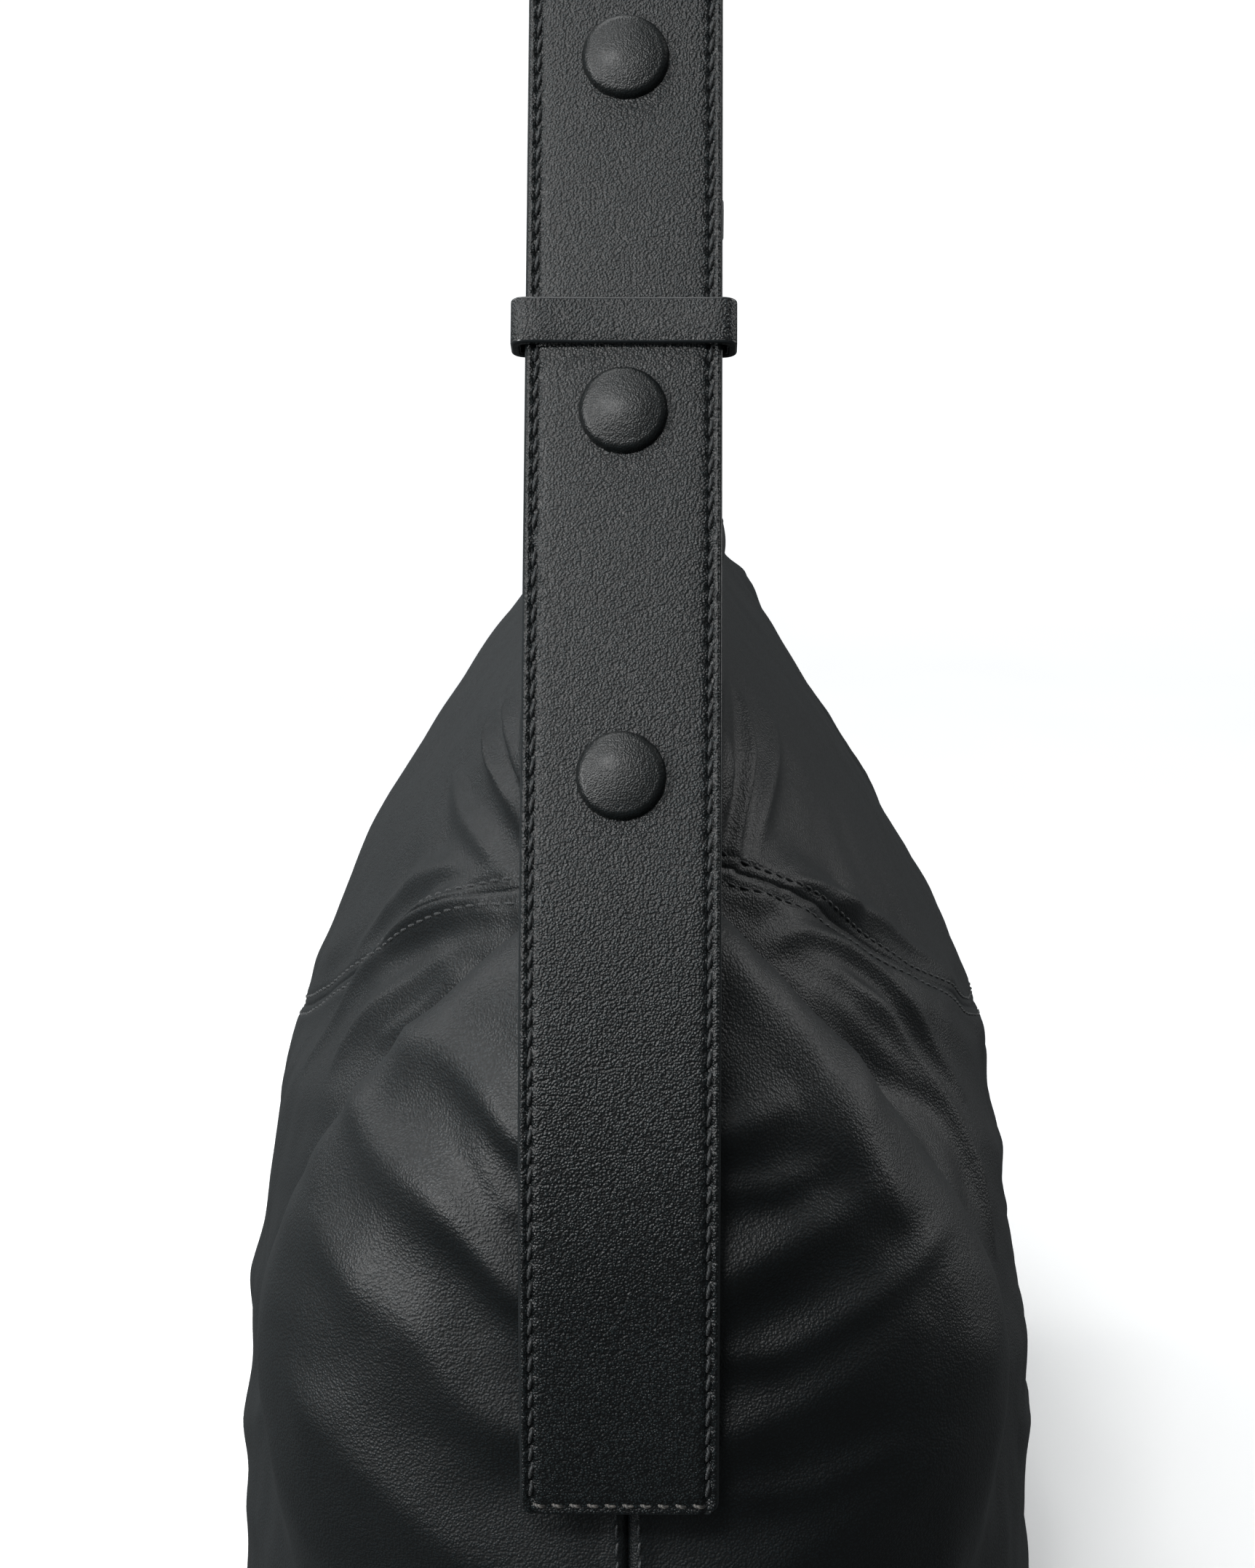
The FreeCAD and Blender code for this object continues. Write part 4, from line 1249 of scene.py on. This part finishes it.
def buildMagnets():
    # pressed steel discs, one on each facing, a little below the mouth
    radius, thickness, edge, turns = [magnetLook[k] for k in ("radius", "thickness", "edge", "turns")]
    inset = bagLook["leather"] + bagLook["lining"] + 0.15 * mm
    for side, column in (("back", quarterColumn), ("front", 3 * quarterColumn)):
        at, normal = pointOnSkin(-fromMouth, np.array([-magnetLook["below"]]), np.array([float(column)]))
        normal = -normal[0] / np.linalg.norm(normal[0])
        across = np.array([1.0, 0, 0])
        up = np.cross(normal, across)
        centre = at[0] + normal * inset
        outline = [(0.4 * mm, thickness), (4 * mm, thickness), (4.3 * mm, thickness - 0.5 * mm),
                   (5.2 * mm, thickness - 0.5 * mm), (5.5 * mm, thickness), (radius - edge, thickness),
                   (radius - 0.15 * mm, thickness - 0.15 * mm), (radius, thickness - edge), (radius, 0.0),
                   (0.4 * mm, 0.0)]
        angle = np.linspace(0, 2 * math.pi, turns, endpoint=False)
        rings = [centre + normal * h + (across * np.cos(angle)[:, None] + up * np.sin(angle)[:, None]) * r
                 for r, h in outline]
        faces = gridFaces(len(rings), turns, True)
        faces.append(list(range(turns)))
        faces.append([(len(rings) - 1) * turns + k for k in range(turns)])
        disc = makePiece("magnet_" + side + "_disc", np.concatenate(rings), faces, [steel])
        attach(disc, "bag")
        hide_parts("magnet_" + side)


buildInside()
buildMagnets()
print("inside ready")


# studio

studio = {
    "distance": 768 * mm, "elevation": 12.0, "azimuth": 91.0, "lens": 88.9,
    "nudge": (0, 1.3 * mm, -1.6 * mm),  # how far from the lowest snap the camera aims
    # the studio's dim surroundings: brighter above and to the left of the camera
    "roomBright": 0.34, "roomDim": 0.09, "roomSide": (-0.1, -0.62, 0.75),
    # painted light on the paper, an emission glow: dimmer beside the bag as painted shade, brighter at the
    # wall
    "nearGlow": 0.27, "farGlow": 0.85,
    # paper cove in metres: where its curve starts, the curve's radius, the wall's height
    "coveStart": 2.2, "coveRadius": 0.9, "coveHigh": 3.2, "coveTurns": 96,
    # softboxes: place, aim, width, height, power in watts
    "lights": {
        "keySoftbox": [(0.95, -1.05, 0.62), (0.15, 0, 0.2), 0.4, 0.8, 15.0],
        "cameraSoftbox": [(1.6, -0.35, 1.5), (0.2, 0, 0.25), 0.45, 0.3, 19.0],
        "overheadSoftbox": [(-0.1, -0.35, 1.5), (0.0, 0.0, 0.1), 0.9, 0.9, 10.0],
        "leftStrip": [(-0.55, -1.15, 0.95), (0.05, -0.05, 0.2), 0.3, 0.8, 4.0],
        "rightStrip": [(-0.4, 1.2, 0.75), (0.1, 0.05, 0.15), 0.3, 1.0, 5.0],
    },
}


def buildStudio():
    look = studio
    target = strapPoint(snapPlaces[0], 0.0)
    lift = math.radians(look["elevation"])
    turn = math.radians(look["azimuth"] - 90)
    back = np.array([math.cos(lift) * math.cos(turn), math.cos(lift) * math.sin(turn), math.sin(lift)])
    camera = bpy.data.objects.new("camera", bpy.data.cameras.new("camera"))
    bpy.context.scene.collection.objects.link(camera)
    camera.location = Vector(target + back * look["distance"])
    aim = Vector(target + np.array(look["nudge"])) - camera.location
    camera.rotation_euler = aim.to_track_quat("-Z", "Y").to_euler()
    camera.data.lens = look["lens"]
    camera.data.sensor_width = 36
    camera.data.clip_start = 0.01
    bpy.context.scene.camera = camera
    world = bpy.data.worlds.new("studio")
    world.use_nodes = True
    background = world.node_tree.nodes["Background"]
    background.inputs[0].default_value = (0.9, 0.97, 1, 1)
    # brightness follows the direction looked in
    direction = addNode(world, "TexCoord").outputs["Generated"]
    side = Vector(look["roomSide"]).normalized()
    toSide = addNode(world, "VectorMath", {"operation": "DOT_PRODUCT", 1: side}, {0: direction})
    strength = addNode(world, "MapRange", {"interpolation_type": "SMOOTHSTEP", "From Min": -0.35,
                                           "From Max": 1.0, "To Min": look["roomDim"],
                                           "To Max": look["roomBright"]},
                       {"Value": toSide.outputs["Value"]})
    world.node_tree.links.new(strength.outputs["Result"], background.inputs[1])
    bpy.context.scene.world = world
    bpy.context.scene.view_settings.view_transform = "Standard"
    for name, (place, aimAt, width, height, power) in look["lights"].items():
        lamp = bpy.data.objects.new(name, bpy.data.lights.new(name, "AREA"))
        bpy.context.scene.collection.objects.link(lamp)
        lamp.location = place
        lamp.rotation_euler = (Vector(aimAt) - Vector(place)).to_track_quat("-Z", "Y").to_euler()
        lamp.data.shape = "RECTANGLE"
        lamp.data.size = width
        lamp.data.size_y = height
        lamp.data.energy = power
    # seamless paper with painted light, an emission glow that keeps it pale; dimmer near the bag as painted
    # shade
    paper = newMaterial("studioPaper", Roughness=0.9)
    fibres = addNode(paper, "TexNoise", {"Scale": 40.0, "Detail": 2.0})
    tone = addNode(paper, "Mix", {"data_type": "RGBA", 6: toLinear("#f4f4f4"), 7: toLinear("#fbfbfb")},
                   {0: fibres.outputs["Fac"]})
    feedShader(paper, "Base Color", tone.outputs[2])
    feedShader(paper, "Emission Color", tone.outputs[2])
    reach = addNode(paper, "VectorMath", {"operation": "LENGTH"},
                    {0: addNode(paper, "TexCoord").outputs["Object"]})
    glow = addNode(paper, "MapRange", {"interpolation_type": "SMOOTHSTEP", "From Min": 0.6, "From Max": 2.4,
                                       "To Min": look["nearGlow"], "To Max": look["farGlow"]},
                   {"Value": reach.outputs["Value"]})
    feedShader(paper, "Emission Strength", glow.outputs["Result"])
    # a round cove of paper: floor, wide curve and upright wall
    start, radius, high, turns = [look["cove" + k] for k in ("Start", "Radius", "High", "Turns")]
    profile = [(0.01, 0.0), (start, 0.0)]
    profile += [(start + radius * math.sin(t), radius * (1 - math.cos(t)))
                for t in np.linspace(0, math.pi / 2, 17)[1:]]
    profile.append((start + radius, high))
    around = np.linspace(0, 2 * math.pi, turns + 1)[:-1]
    cove = np.array([[(r * math.cos(a), r * math.sin(a), z) for a in around] for r, z in profile])
    faces = gridFaces(len(profile), turns, True) + [list(range(turns))]
    floor = makePiece("paper_cove", cove.reshape(-1, 3), faces, [paper])
    floor.visible_diffuse = False
    # the leather is lit by the room, not mirrored from the glowing paper
    floor.visible_glossy = False


buildStudio()
for piece in bpy.data.objects:
    if piece.type == "MESH" and not piece.data.materials:
        piece.data.materials.append(steel)
print("scene ready")
